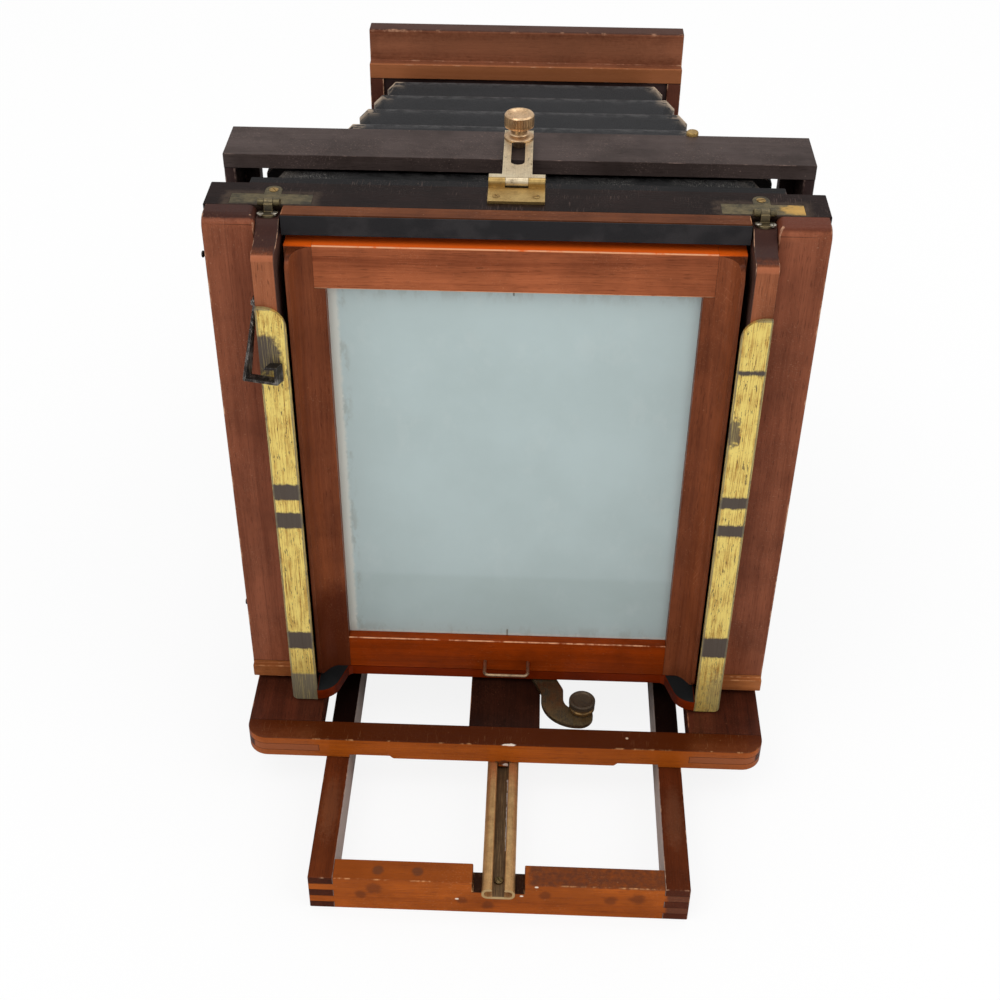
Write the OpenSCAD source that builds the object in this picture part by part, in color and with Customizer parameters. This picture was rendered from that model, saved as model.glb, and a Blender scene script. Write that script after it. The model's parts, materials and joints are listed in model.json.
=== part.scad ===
// Wooden studio view camera for 8 x 10 inch plates, without its stand.
// X runs across the camera, Y forwards to the lens, Z up; the origin is the
// mouth of the stand screw's bush, in the middle of the bed's underside.

/* [Bed] */
// Length of the bed, front to back
bed_len = 580; // [540:1:640]
// Width of the bed
bed_w = 220.4; // [215:0.1:226]
// Height of the bed's rails and bars
bed_h = 26.7; // [24:0.1:32]
// Width of each side rail
bed_rail_w = 14.5; // [12:0.5:18]
// Depth of the rear and front crossbars
bed_bar_d = 14.4; // [12:0.2:18]
// Depth of the wide middle crossbar that holds the stand bush
bed_mid_d = 64; // [50:1:80]
// Fingers in each corner joint of the bed
bed_fingers = 5; // [3:2:7]
// Width of the notch that lets the track through the crossbars
notch_w = 30; // [26:0.5:34]
// Radius of the bore that takes the stand screw
stand_bore_r = 4.8; // [4:0.1:5.5]
// Length of the stand bush
stand_bush_l = 12; // [9:0.5:14]

/* [Track] */
// Width of the brass track
track_w = 19.2; // [17.5:0.1:21]
// Height of the brass track
track_h = 8; // [7.2:0.1:9]
// Thickness of the track's walls
track_wall = 1.6; // [1.2:0.1:1.8]
// Width of the slot between the track's curled lips
track_gap = 7; // [6.7:0.1:8]
// Length of track that stands out behind the bed
track_out = 4.4; // [2:0.1:8]

/* [Carriage] */
// Width of the carriage
car_w = 318.8; // [314:0.2:322]
// Height of the carriage
car_h = 15.6; // [13:0.2:20]
// Length of the carriage, front to back
car_len = 178.2; // [170:0.2:190]
// Depth of the carriage's rear and front bars
car_bar_d = 15.4; // [12:0.1:18]
// Width of each wing of the carriage
car_wing_w = 45; // [42:0.5:48]
// Width of the centre board
car_board_w = 44; // [36:1:54]
// Radius of the carriage's rear corners in plan
car_corner_r = 12.5; // [12:0.5:24]
// Distance from the carriage's rear edge to the back's rear face
car_set = 53; // [46:0.2:56]
// Fingers in each rear corner joint of the carriage
car_fingers = 3; // [2:1:6]

/* [Back] */
// Distance from the bed's rear end to the rear face of the back
back_set = 146.6; // [140:0.2:152]
// Width of each red side rail
side_w = 27.2; // [24:0.1:34]
// Depth of the dark frame of the back
back_d = 25.6; // [22:0.2:30]
// Depth of the red side rails in front of which the plate holder goes
side_d = 15; // [14.2:0.1:18]
// How far the side rails stay inside the edge of the back
side_inset = 1.3; // [0.5:0.1:3]
// How much wider than the glass the picture opening is, at each side
open_side = 4.5; // [2:0.5:10]
// How much taller than the glass the picture opening is, above and below
open_end = 2.7; // [1:0.1:6]
// Gap between the foot of the back and the carriage
back_lift = 4; // [3.4:0.1:6]
// Radius of the worn round edge along the top of the side rails
side_round = 7; // [3:0.5:9]
// Height of the ledges at the foot of the side rails
ledge_h = 11; // [8:0.5:13]
// How far the ledges stand out behind the side rails
ledge_out = 3; // [1:0.5:5]
// Depth of the fillet strip behind the top of the back
fillet_d = 10; // [8:0.2:10.6]
// Height of the fillet strip
fillet_h = 11.3; // [9:0.1:14]
// Gap between the glass frame and the fillet strip above it
fillet_gap = 4.5; // [2:0.1:10]

/* [Hoop] */
// Gap between the back and the hoop
hoop_gap = 34.3; // [32:0.1:40]
// Depth of the hoop, front to back
hoop_d = 35.8; // [32:0.2:40]
// Thickness of the hoop's legs
hoop_leg_t = 6.3; // [5.5:0.1:8]
// Thickness of the hoop's top bar
hoop_bar_t = 8.4; // [7:0.1:10]
// Width of the dark return strip inside each leg
hoop_return = 8.5; // [6:0.5:9]
// Thickness of the collar board that joins the two bellows
collar_t = 8; // [6:0.5:10]
// Gap between the collar board and each leg's return strip
collar_gap = 5.6; // [3:0.1:9]

/* [Ground glass frame] */
// Width of the visible glass
glass_w = 199; // [190:1:204]
// Height of the visible glass
glass_h = 250; // [245:1:252]
// Width of each stile of the frame
stile_w = 20.5; // [18:0.5:23]
// Height of the frame's top rail
gg_top_h = 25.3; // [22:0.1:27]
// Height of the frame's bottom rail
gg_bottom_h = 24.5; // [22:0.1:27]
// Depth of the frame
gg_d = 13.1; // [12:0.1:13.6]
// How far the cove mouldings stand out behind the frame
cove_out = 13.9; // [10:0.1:16]
// Thickness of the ground glass
glass_t = 2.4; // [2:0.1:4]

/* [Cradle] */
// Thickness of the cradle's arms
arm_t = 12; // [10:0.5:13]
// How far the arms stand out behind the side rails
arm_out = 17.7; // [15:0.1:22]
// Width of the brass facing strips
strip_w = 15.5; // [13.8:0.1:16]
// Thickness of the brass facing strips
strip_t = 2.3; // [1.5:0.1:3]
// Height of the strips' top ends above the bed's underside
strip_top = 328; // [300:1:340]
// Thickness of the shelf
shelf_t = 7.4; // [6:0.1:7.8]
// Radius of the shelf's round ears
ear_r = 14; // [11:0.5:16]
// How far the ears stand out behind the side rails
ear_out = 22.2; // [20:0.1:26]
// Width of the pull handle between its legs
handle_w = 27.2; // [22:0.2:34]
// How far the pull handle stands out
handle_out = 12.5; // [9:0.5:16]

/* [Front standard] */
// Distance from the bed's front end to the standard's rear face
front_set = 50.9; // [46:0.1:60]
// Width of the front standard
front_w = 229; // [224:0.5:234]
// Height of the standard's top above the bed's underside
front_top = 320.5; // [312:0.5:330]
// Width of each leg of the standard
front_leg_w = 10; // [8:0.5:12]
// Depth of the standard's legs
front_d = 21; // [18:0.5:26]
// Height of the lower band of the top rail
front_band_h = 11; // [8:0.5:13]
// Height of the upper face of the top rail
front_face_h = 23; // [18:0.5:26]
// How far the upper face lies in front of the band
front_step = 7.5; // [5:0.5:10]
// Thickness of the board that the bellows is glued to
throat_t = 10; // [8:0.5:13]
// How far that board lies in front of the legs' rear faces
throat_set = 2.5; // [1:0.5:5]
// Half the width and height of the opening in that board
throat_half = 85; // [78:0.5:87]
// Distance from the standard's top down to the lens axis
lens_drop = 129.5; // [126:0.5:134]

/* [Rising front] */
// Thickness of the rising panel
panel_t = 6; // [5:0.5:8]
// Width of the opening in the rising panel
panel_hole = 120; // [100:1:126]
// Width and height of the lens board
board_size = 150; // [140:1:160]
// Thickness of the lens board
board_t = 7; // [5:0.5:9]
// Radius of the lens barrel
barrel_r = 32; // [26:0.5:36]
// Length of barrel in front of the lens board
barrel_l = 62; // [50:1:80]
// Thickness of the barrel's wall
barrel_wall = 2; // [1.5:0.1:3]
// Height that the front rises
rise_up = 40; // [20:1:45]

/* [Bellows] */
// Number of pleats in the front bellows
front_pleats = 7; // [5:1:9]
// Number of pleats in the rear bellows
rear_pleats = 2; // [1:1:3]
// Depth of the pleats
pleat_d = 9; // [5:0.5:12]
// Thickness of the leather and its lining
leather_t = 2; // [1.5:0.1:3]
// Size of the cut corners of the bellows
bellows_cut = 11; // [8:0.5:14]
// How far the front bellows stays inside the collar board's sides
bellows_edge = 5; // [4:0.5:12]
// Height of both bellows above the carriage
bellows_sill = 19.5; // [14:0.5:26]
// Gap between the front bellows and the hoop's top bar
bellows_head = 22.9; // [14:0.1:30]
// Gap between the front bellows and the standard's legs
bellows_side = 7.5; // [6:0.5:12]
// Gap between the front end of the bellows and the standard's top rail
bellows_band = 7.5; // [5:0.5:12]

/* [Fittings] */
// Radius of the thumbscrew's stem on top of the hoop
stem_r = 3.2; // [2.8:0.1:3.4]
// Radius of the thumbscrew's knob
knob_r = 8.2; // [7:0.1:9]
// Width of the slotted strap
strap_w = 16; // [14:0.5:18]
// Width of the strap's slot
slot_w = 7.5; // [7:0.1:8.5]
// Thickness of the strap
strap_t = 1.8; // [1.4:0.1:2.2]
// Thickness of the brass hinge plates
plate_t = 1.5; // [1.2:0.1:1.8]
// Thickness of the clamp lever
lever_t = 2.8; // [2.2:0.1:2.9]
// Height of the lever's knob
lever_knob_h = 8.2; // [6:0.1:8.4]
// Radius of the clamp bolt's shank
bolt_r = 3; // [2.6:0.1:3.2]

/* [Hidden] */

$fn = 48;
eps = 0.01;           // overlap of cutting shapes past a face
slide_gap = 0.2;      // between flat faces that slide on each other
run_gap = 0.05;       // radial clearance of a shaft that turns
side_gap = 0.3;       // between flat faces of parts that swing past each other
felt_t = 0.5;         // thickness of the felt pads on the shelf

// Heights
car_z = bed_h + slide_gap;
car_top = car_z + car_h;
back_z = car_top + back_lift;
shelf_top = back_z + shelf_t - felt_t;
gg_z = shelf_top + side_gap;
glass_low = gg_z + gg_bottom_h;
glass_high = glass_low + glass_h;
gg_top = glass_high + gg_top_h;
back_top = gg_top + fillet_gap + fillet_h;
track_z = bed_h - track_h;

// Places along Y, from the rear face of the side rails at y0
y0 = -bed_len / 2 + back_set;
frame_y = side_d;
frame_front = side_d + back_d;
hoop_y = frame_front + hoop_gap;
hoop_front = hoop_y + hoop_d;
collar_fwd = 3;
collar_y = hoop_y + (hoop_d - collar_t) / 2 + collar_fwd;
collar_front = collar_y + collar_t;
gg_y = side_d - side_gap - gg_d;
gg_front = gg_y + gg_d;
strip_y = -arm_out - strip_t;

// Places of the front standard, from the bed's middle
front_y = bed_len / 2 - front_set;
face_y = front_y + front_step;
guide_y = front_y + front_d;
throat_y = front_y + throat_set;
band_z = front_top - front_face_h - front_band_h;
lens_z = front_top - lens_drop;

// Places across X
arm_gap = 2;
gg_x = glass_w / 2 + stile_w;
arm_x = gg_x + arm_gap;
arm_out_x = arm_x + arm_t;
side_x = arm_out_x + side_gap;
half_w = side_x + side_w + side_inset;
hinge_x = arm_x + arm_t / 2;
strip_in = arm_out_x - strip_w;

// Pivots, as distances from y0 and heights
tilt_r = 2.6;
tilt_pin_r = 1.2;
tilt_set = 0.8;       // of the pivot's barrel in front of the back
tilt_y = frame_front + tilt_r + tilt_set;
tilt_z = car_top + tilt_r + side_gap;
tilt_leaf_w = 18;
tilt_x = half_w - tilt_leaf_w;
swing_r = 2;
swing_pin_r = 0.9;
swing_set = 0.8;      // of the pivot behind the dark frame
swing_y = frame_y - swing_set;
swing_z = back_top + swing_r + slide_gap;
swing_w = arm_t - 2 * side_gap;
strap_r = 2.4;
strap_pin_r = 1;
strap_rise = 1.1;     // of the strap's barrel over the back's top
strap_y = frame_front - 0.1;
strap_z = back_top + strap_r + strap_rise;
strap_half = 15;
thumb_y = hoop_y + hoop_d / 2;
bolt_set = 16.4;      // of the clamp bolt in front of the back
bolt_y = frame_front + bolt_set;
lever_z = car_top + side_gap;
pad_x = 46.2;
pad_y = -28.4;
knob_x = 48.1;
knob_y = -22.6;
latch_y = -12;
latch_drop = 1;       // of the latch's pin below the strips' top ends
latch_z = strip_top - latch_drop;

// ---------------------------------------------------------------- helpers
module at_back() {
    translate([0, y0, 0]) children();
}

// A block from one corner to the opposite one
module block(a, b) {
    translate(a) cube(b - a);
}

// The child and its mirror image across the camera
module pair() {
    children();
    mirror([1, 0, 0]) children();
}

// A cylinder along X or along Y, from its start point
module rod_x(p, l, r) {
    translate(p) rotate([0, 90, 0]) cylinder(h = l, r = r);
}

module rod_y(p, l, r) {
    translate(p) rotate([-90, 0, 0]) cylinder(h = l, r = r);
}

// A YZ outline carried along X
module profile_x(x, l) {
    translate([x, 0, 0]) rotate([90, 0, 90]) linear_extrude(l) children();
}

// An XZ outline carried along Y
module profile_y(y, l) {
    translate([0, y + l, 0]) rotate([90, 0, 0]) linear_extrude(l) children();
}

// ------------------------------------------------------------------- bed
bed_in = bed_w / 2 - bed_rail_w;
finger_h = bed_h / bed_fingers;

// One side rail, with the fingers of its two corner joints cut away
module bed_rail() {
    difference() {
        block([bed_in, -bed_len / 2, 0], [bed_w / 2, bed_len / 2, bed_h]);
        for (i = [1 : 2 : bed_fingers - 1], s = [-1, 1])
            translate([bed_in - eps, s * (bed_len - bed_bar_d) / 2, (i + 0.5) * finger_h])
                translate([0, -bed_bar_d / 2 - eps, -finger_h / 2])
                    cube([bed_rail_w + 2 * eps, bed_bar_d + 2 * eps, finger_h]);
    }
}

// A crossbar with its fingers and the notch for the track
module bed_bar() {
    difference() {
        union() {
            block([-bed_in, -bed_bar_d / 2, 0], [bed_in, bed_bar_d / 2, bed_h]);
            for (i = [1 : 2 : bed_fingers - 1])
                block([-bed_w / 2, -bed_bar_d / 2, i * finger_h],
                      [bed_w / 2, bed_bar_d / 2, (i + 1) * finger_h]);
        }
        block([-notch_w / 2, -bed_bar_d / 2 - eps, track_z],
              [notch_w / 2, bed_bar_d / 2 + eps, bed_h + eps]);
        translate([0, 0, track_z - screw_l]) cylinder(h = screw_l + eps, r = screw_r + run_gap);
    }
}

module bed_rail_left() { color("#7a3b22") mirror([1, 0, 0]) bed_rail(); }
module bed_rail_right() { color("#7a3b22") bed_rail(); }
module bed_rear_bar() { color("#a4501f") translate([0, -(bed_len - bed_bar_d) / 2, 0]) bed_bar(); }
module bed_front_bar() { color("#a4501f") translate([0, (bed_len - bed_bar_d) / 2, 0]) bed_bar(); }

bush_r = stand_bore_r + 3.2;

module bed_middle_bar() {
    color("#8a4524") difference() {
        block([-bed_in, -bed_mid_d / 2, 0], [bed_in, bed_mid_d / 2, track_z]);
        translate([0, 0, -eps]) cylinder(h = stand_bush_l + eps, r = bush_r + run_gap);
    }
}

module tripod_bush() {
    color("#b08d4a") difference() {
        cylinder(h = stand_bush_l, r = bush_r);
        translate([0, 0, -eps]) cylinder(h = stand_bush_l + 2 * eps, r = stand_bore_r);
    }
}

// ----------------------------------------------------------------- track
lip_r = 3.5;
screw_r = 1.5;
screw_l = 9;
screw_head_r = 3;
track_len = bed_len + track_out;

// A filled section of the track, round at its corners
module track_section(half, low, high, r) {
    translate([-half, low + r]) square([2 * half, high - low - 2 * r]);
    translate([r - half, low]) square([2 * (half - r), high - low]);
    for (s = [-1, 1], z = [low + r, high - r]) translate([s * (half - r), z]) circle(r);
}

// The track's outline: a floor, two sides and two lips that curl over
module track_outline() {
    half = track_w / 2;
    lip_x = (track_gap + track_wall) / 2;
    difference() {
        track_section(half, 0, track_h, lip_r);
        track_section(half - track_wall, track_wall, track_h - track_wall, lip_r - track_wall);
        translate([-lip_x, track_wall]) square([2 * lip_x, track_h]);
    }
    for (s = [-1, 1]) translate([s * lip_x, track_h - track_wall / 2]) circle(track_wall / 2);
}

module track_channel() {
    color("#9c8455") difference() {
        translate([0, 0, track_z]) profile_y(-bed_len / 2 - track_out, track_len) track_outline();
        for (s = [-1, 1]) translate([0, s * (bed_len - bed_bar_d) / 2, track_z - eps])
            cylinder(h = track_wall + 2 * eps, r = screw_r + run_gap);
    }
}

module track_screws() {
    color("#8c7a50") for (s = [-1, 1])
        translate([0, s * (bed_len - bed_bar_d) / 2, track_z + track_wall]) {
            intersection() {
                cylinder(h = 1.6, r = screw_head_r);
                translate([0, 0, -2.4]) sphere(r = 4);
            }
            translate([0, 0, -screw_l]) cylinder(h = screw_l + 0.5, r = screw_r);
        }
}

// -------------------------------------------------------- front standard
front_x = front_w / 2;
leg_in = front_x - front_leg_w;

module front_leg() {
    block([leg_in, front_y, bed_h], [front_x, guide_y, band_z]);
}

module front_leg_left() { color("#6e3a26") mirror([1, 0, 0]) front_leg(); }
module front_leg_right() { color("#6e3a26") front_leg(); }

// The top rail: a broad upper face set back over a narrow band
module front_top_rail() {
    color("#7c3d22") profile_x(-front_x, front_w) polygon([
        [front_y, band_z], [guide_y, band_z], [guide_y, front_top], [face_y + 1, front_top],
        [face_y, front_top - 1], [face_y, band_z + front_band_h], [front_y, band_z + front_band_h]]);
}

// The board across the standard, with the square throat that the bellows covers
module front_throat_board() {
    color("#2b2422") difference() {
        block([-leg_in, throat_y, bed_h], [leg_in, throat_y + throat_t, band_z]);
        block([-throat_half, throat_y - eps, lens_z - throat_half],
              [throat_half, throat_y + throat_t + eps, lens_z + throat_half]);
    }
}

guide_w = 12;
guide_t = panel_t + 2 * side_gap;
guide_lip = 3;
guide_foot = bed_h + 12;
panel_half = front_x - guide_w + 3;
panel_z = lens_z - throat_half - rise_up - 6;
panel_top = band_z + 12;
screw_in = 5.2;
screw_drop = 40;
screw_x = front_x - screw_in;
screw_z = front_top - screw_drop;
guide_pin_r = 2.4;

// Two strips on the front of the standard, lipped to hold the rising panel
module panel_guides() {
    color("#6e3a26") pair() difference() {
        union() {
            block([panel_half + side_gap, guide_y, guide_foot],
                  [front_x, guide_y + guide_t, front_top - 6]);
            block([front_x - guide_w, guide_y + guide_t, guide_foot],
                  [front_x, guide_y + guide_t + guide_lip, front_top - 6]);
        }
        rod_y([screw_x, guide_y + 1, screw_z], guide_t + guide_lip, guide_pin_r + run_gap);
    }
}

module rising_panel() {
    color("#7c3d22") difference() {
        block([-panel_half, guide_y + side_gap, panel_z],
              [panel_half, guide_y + side_gap + panel_t, panel_top]);
        block([-panel_hole / 2, guide_y, lens_z - panel_hole / 2],
              [panel_hole / 2, guide_y + guide_t + 1, lens_z + panel_hole / 2]);
    }
}

board_y = guide_y + side_gap + panel_t;
flange_t = 3;
flange_r = barrel_r + 14;

module lens_board() {
    color("#7c3d22") difference() {
        block([-board_size / 2, board_y, lens_z - board_size / 2],
              [board_size / 2, board_y + board_t, lens_z + board_size / 2]);
        rod_y([0, board_y - eps, lens_z], board_t + 2 * eps, barrel_r + run_gap);
    }
}

module lens_flange() {
    color("#b0893f") difference() {
        rod_y([0, board_y + board_t, lens_z], flange_t, flange_r);
        rod_y([0, board_y + board_t - eps, lens_z], flange_t + 2 * eps, barrel_r + run_gap);
        for (a = [30 : 60 : 330])
            rod_y([(flange_r - 6) * cos(a), board_y + board_t - eps, lens_z + (flange_r - 6) * sin(a)],
                  flange_t + 2 * eps, 1.8);
    }
}

hood_l = 16;
seat_y = 4;

// The barrel with its flared hood, turned in one piece, and seats for the two glasses
module lens_barrel() {
    inner = barrel_r - barrel_wall;
    mount = board_t + barrel_l;
    neck = mount - hood_l;
    color("#b8923f") translate([0, board_y, lens_z]) rotate([-90, 0, 0])
        rotate_extrude() polygon([
            [inner, 0], [barrel_r, 0], [barrel_r, neck], [barrel_r + 5, neck + 4],
            [barrel_r + 6, mount], [barrel_r + 4, mount], [barrel_r + 3, neck + 6],
            [inner, neck], [inner, neck - 1], [inner - 2, neck - 1], [inner - 2, neck - 3],
            [inner, neck - 3],
            [inner, seat_y + 2], [inner - 2, seat_y + 2], [inner - 2, seat_y], [inner, seat_y]]);
}

glass_edge = 3;
glass_bulge = 5;
ball_r = (pow(barrel_r - barrel_wall - run_gap, 2) + pow(glass_bulge, 2)) / (2 * glass_bulge);

// One plano-convex glass with its flat face on its seat
module lens_glass() {
    rotate_extrude() intersection() {
        square([barrel_r - barrel_wall - run_gap, glass_edge + glass_bulge + 1]);
        translate([0, glass_edge + glass_bulge - ball_r]) circle(ball_r, $fn = 360);
    }
}

module lens_glasses() {
    far = board_t + barrel_l - hood_l - 1;
    color([0.75, 0.85, 0.85, 0.5]) translate([0, board_y, lens_z])
        rotate([-90, 0, 0]) {
            translate([0, 0, far]) lens_glass();
            translate([0, 0, seat_y + 2]) lens_glass();
        }
}

// A thumbscrew in the front guide, along Y
module panel_screw() {
    top = guide_y + guide_t + guide_lip;
    rod_y([screw_x, guide_y + 1.5, screw_z], top - guide_y + 2, guide_pin_r);
    rod_y([screw_x, top + side_gap, screw_z], 3, 4);
    rod_y([screw_x, top + side_gap + 3, screw_z], 7, knob_r - 2);
}

module panel_screw_left() { color("#a88a4c") mirror([1, 0, 0]) panel_screw(); }
module panel_screw_right() { color("#a88a4c") panel_screw(); }

// -------------------------------------------------------------- carriage
car_y = -car_set;
car_front = car_y + car_len;
wing_in = car_w / 2 - car_wing_w;
layer_h = car_h / car_fingers;

relief_h = 2.2;
relief_x = 68.5;

// The two shallow notches under the carriage's rear bar, inside the bed's rails
module relief() {
    pair() profile_y(car_y - 1, car_bar_d + 2) polygon([
        [relief_x, car_z - 1], [relief_x, car_z], [relief_x + relief_h, car_z + relief_h],
        [bed_in, car_z + relief_h], [bed_in, car_z - 1]]);
}

// Plan of the whole carriage, with round rear corners
module carriage_plan() {
    half = car_w / 2;
    translate([-half, car_y + car_corner_r]) square([car_w, car_len - car_corner_r]);
    translate([-half + car_corner_r, car_y])
        square([car_w - 2 * car_corner_r, car_corner_r + eps]);
    for (s = [-1, 1]) translate([s * (half - car_corner_r), car_y + car_corner_r])
        circle(car_corner_r);
}

module in_plan() {
    at_back() intersection() {
        translate([0, 0, car_z]) linear_extrude(car_h) carriage_plan();
        children();
    }
}

// The rear bar, notched underneath, with a tongue that runs in the track's slot
module carriage_rear_bar() {
    tongue = track_gap / 2 - side_gap;
    color("#a4501f") difference() {
        union() {
            in_plan() {
                block([-wing_in, car_y, car_z], [wing_in, car_y + car_bar_d, car_top]);
                for (i = [(car_fingers - 1) % 2 : 2 : car_fingers - 1])
                    block([-car_w / 2, car_y, car_z + i * layer_h],
                          [car_w / 2, car_y + car_bar_d, car_z + (i + 1) * layer_h]);
            }
            at_back() block([-tongue, car_y, car_z - 4], [tongue, car_y + car_bar_d, car_z]);
        }
        at_back() relief();
    }
}

// Both wings, whose layers fill the gaps between those of the rear bar
module carriage_wings() {
    color("#4a2a20") in_plan() pair() {
        block([wing_in, car_y + car_bar_d, car_z], [car_w / 2, car_front, car_top]);
        for (i = [car_fingers % 2 : 2 : car_fingers - 1])
            block([wing_in, car_y, car_z + i * layer_h],
                  [car_w / 2, car_y + car_bar_d + eps, car_z + (i + 1) * layer_h]);
    }
}

module carriage_centre_board() {
    color("#4a2a20") at_back() difference() {
        block([-car_board_w / 2, car_y + car_bar_d, car_z],
              [car_board_w / 2, car_front - car_bar_d, car_top]);
        translate([0, bolt_y, car_z - eps]) cylinder(h = car_h + 2 * eps, r = bolt_r + run_gap);
    }
}

module carriage_front_bar() {
    color("#8a4524") at_back()
        block([-wing_in, car_front - car_bar_d, car_z], [wing_in, car_front, car_top]);
}

head_gap = 0.6;
head_l = 16;
head_half = track_w / 2 - track_wall - head_gap - side_gap;
head_z = track_z + track_wall + head_gap;
head_t = track_h - 2 * (track_wall + head_gap);

// Clamp bolt: a T head in the track, a shank and a round top over the lever
module clamp_bolt() {
    color("#9c8455") at_back() {
        block([-head_half, bolt_y - head_l / 2, head_z],
              [head_half, bolt_y + head_l / 2, head_z + head_t]);
        translate([0, bolt_y, head_z]) cylinder(h = lever_z + lever_t + 1 - head_z, r = bolt_r);
        translate([0, bolt_y, lever_z + lever_t + side_gap]) cylinder(h = 2.4, r = bolt_r + 3);
    }
}

// ------------------------------------------------------------------ hoop
hoop_x = half_w;
hoop_under = back_top - hoop_bar_t;
return_d = 10.7;

module hoop_legs() {
    color("#3a2b27") at_back() pair() {
        block([hoop_x - hoop_leg_t, hoop_y, car_top], [hoop_x, hoop_front, hoop_under]);
        block([hoop_x - hoop_leg_t - hoop_return, hoop_front - return_d, car_top],
              [hoop_x - hoop_leg_t, hoop_front, hoop_under]);
    }
}

module hoop_top_bar() {
    color("#3a2b27") at_back() difference() {
        block([-hoop_x, hoop_y, hoop_under], [hoop_x, hoop_front, back_top]);
        translate([0, thumb_y, hoop_under - eps])
            cylinder(h = hoop_bar_t + 2 * eps, r = stem_r + run_gap);
    }
}

collar_x = hoop_x - hoop_leg_t - hoop_return - collar_gap;
bellows_w = collar_x - bellows_edge;
bellows_low = car_top + bellows_sill;
bellows_h = (hoop_under - bellows_head - bellows_low) / 2;
collar_mid = bellows_low + bellows_h;
collar_rim = 12;

module bellows_collar() {
    color("#1d1b1c") at_back() difference() {
        profile_y(collar_y, collar_t) polygon([
            [-collar_x, car_top], [collar_x, car_top], [collar_x, hoop_under - bellows_cut],
            [collar_x - bellows_cut, hoop_under], [bellows_cut - collar_x, hoop_under],
            [-collar_x, hoop_under - bellows_cut]]);
        block([collar_rim - bellows_w, collar_y - eps, collar_mid - bellows_h + collar_rim],
              [bellows_w - collar_rim, collar_front + eps, collar_mid + bellows_h - collar_rim]);
    }
}

// --------------------------------------------------------------- bellows
function mix(a, b, t) = a * (1 - t) + b * t;

// One eight-sided ring of a bellows: half width w, half height h, cut corners c
function ring(y, w, h, z, c) = [
    [w - c, y, z - h], [w, y, z - h + c], [w, y, z + h - c], [w - c, y, z + h],
    [c - w, y, z + h], [-w, y, z + h - c], [-w, y, z - h + c], [c - w, y, z - h]];

// A pleated leather tube from ring a to ring b, each [y, half width, half height, mid height]
module pleated(a, b, pleats) {
    n = 2 * pleats;
    function size_at(i) = mix(a, b, i / n) - (i % 2 == 0 ? [0, pleat_d, pleat_d, 0] : [0, 0, 0, 0]);
    outer = [for (i = [0 : n]) let (s = size_at(i)) ring(s[0], s[1], s[2], s[3], bellows_cut)];
    inner = [for (i = [0 : n]) let (s = size_at(i))
        ring(s[0], s[1] - leather_t, s[2] - leather_t, s[3], bellows_cut - 0.586 * leather_t)];
    points = [for (r = outer, p = r) p, for (r = inner, p = r) p];
    last = 8 * n;
    skin = 8 * (n + 1);
    faces = [
        for (k = [0 : n - 1], j = [0 : 7]) let (a = 8 * k + j, b = 8 * k + (j + 1) % 8)
            [a, b, b + 8, a + 8],
        for (k = [0 : n - 1], j = [0 : 7]) let (a = skin + 8 * k + j, b = skin + 8 * k + (j + 1) % 8)
            [a + 8, b + 8, b, a],
        for (j = [0 : 7]) let (b = (j + 1) % 8) [b, j, skin + j, skin + b],
        for (j = [0 : 7]) let (b = (j + 1) % 8)
            [last + j, last + b, skin + last + b, skin + last + j]];
    polyhedron(points, faces, convexity = 6);
}

rear_edge = 7;
rear_head = 3;
rear_half = collar_x - rear_edge;
rear_high = hoop_under - rear_head;
rear_mid = (bellows_low + rear_high) / 2;
rear_tall = (rear_high - bellows_low) / 2;
throat_w = leg_in - bellows_side;
throat_h = band_z - bellows_band + pleat_d - lens_z;

module bellows_front() {
    color("#26282b") pleated(
        [y0 + collar_front + side_gap, bellows_w, bellows_h, collar_mid],
        [throat_y - side_gap, throat_w, throat_h, lens_z], front_pleats);
}

module bellows_rear() {
    color("#26282b") pleated(
        [y0 + frame_front + side_gap, rear_half, rear_tall, rear_mid],
        [y0 + collar_y - side_gap, rear_half, rear_tall, rear_mid], rear_pleats);
}

// ---------------------------------------------------------- tilt hinges
tilt_third = tilt_leaf_w / 3;
low_leaf_l = 22;
high_leaf_l = 26;

// Lower leaves on the carriage, with their pins and outer knuckles
module tilt_hinge_leaves() {
    color("#9c8455") at_back() pair() translate([tilt_x - tilt_leaf_w / 2, 0, 0]) {
        difference() {
            union() {
                block([0, tilt_y, car_top], [tilt_leaf_w, tilt_y + low_leaf_l, car_top + plate_t]);
                rod_x([0, tilt_y, tilt_z], tilt_leaf_w, tilt_r);
                block([0, tilt_y, car_top], [tilt_leaf_w, tilt_y + tilt_r, tilt_z]);
            }
            block([tilt_third - 0.2, tilt_y - tilt_r - 1, car_top - 1],
                  [2 * tilt_third + 0.2, tilt_y + tilt_r + 0.4, tilt_z + tilt_r + 1]);
        }
        rod_x([0, tilt_y, tilt_z], tilt_leaf_w, tilt_pin_r);
    }
}

// Upper leaves on the front of the back, with the middle knuckles
module tilt_hinge_knuckles() {
    color("#9c8455") at_back() pair() translate([tilt_x - tilt_leaf_w / 2, 0, 0]) {
        block([0, frame_front, tilt_z + tilt_r + 0.5],
              [tilt_leaf_w, frame_front + plate_t, tilt_z + high_leaf_l]);
        difference() {
            union() {
                rod_x([tilt_third, tilt_y, tilt_z], tilt_third, tilt_r);
                block([tilt_third, frame_front, tilt_z],
                      [2 * tilt_third, frame_front + plate_t, tilt_z + tilt_r + 1]);
            }
            rod_x([tilt_third - 1, tilt_y, tilt_z], tilt_third + 2, tilt_pin_r + run_gap);
        }
    }
}

// ----------------------------------------------------------- clamp lever
hub_r = 10;
neck_w = 14;
pad_r = 8.9;
bend_r = 15.6;
elbow_rise = 7;
bend_x = pad_x - 1;
bend_y = pad_y - pad_r + neck_w / 2 + bend_r;
join_x = bend_x - bend_r;
elbow_y = bend_y + elbow_rise;
reach = norm([join_x, bolt_y - elbow_y]);
lean = atan2(join_x, bolt_y - elbow_y);

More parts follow.
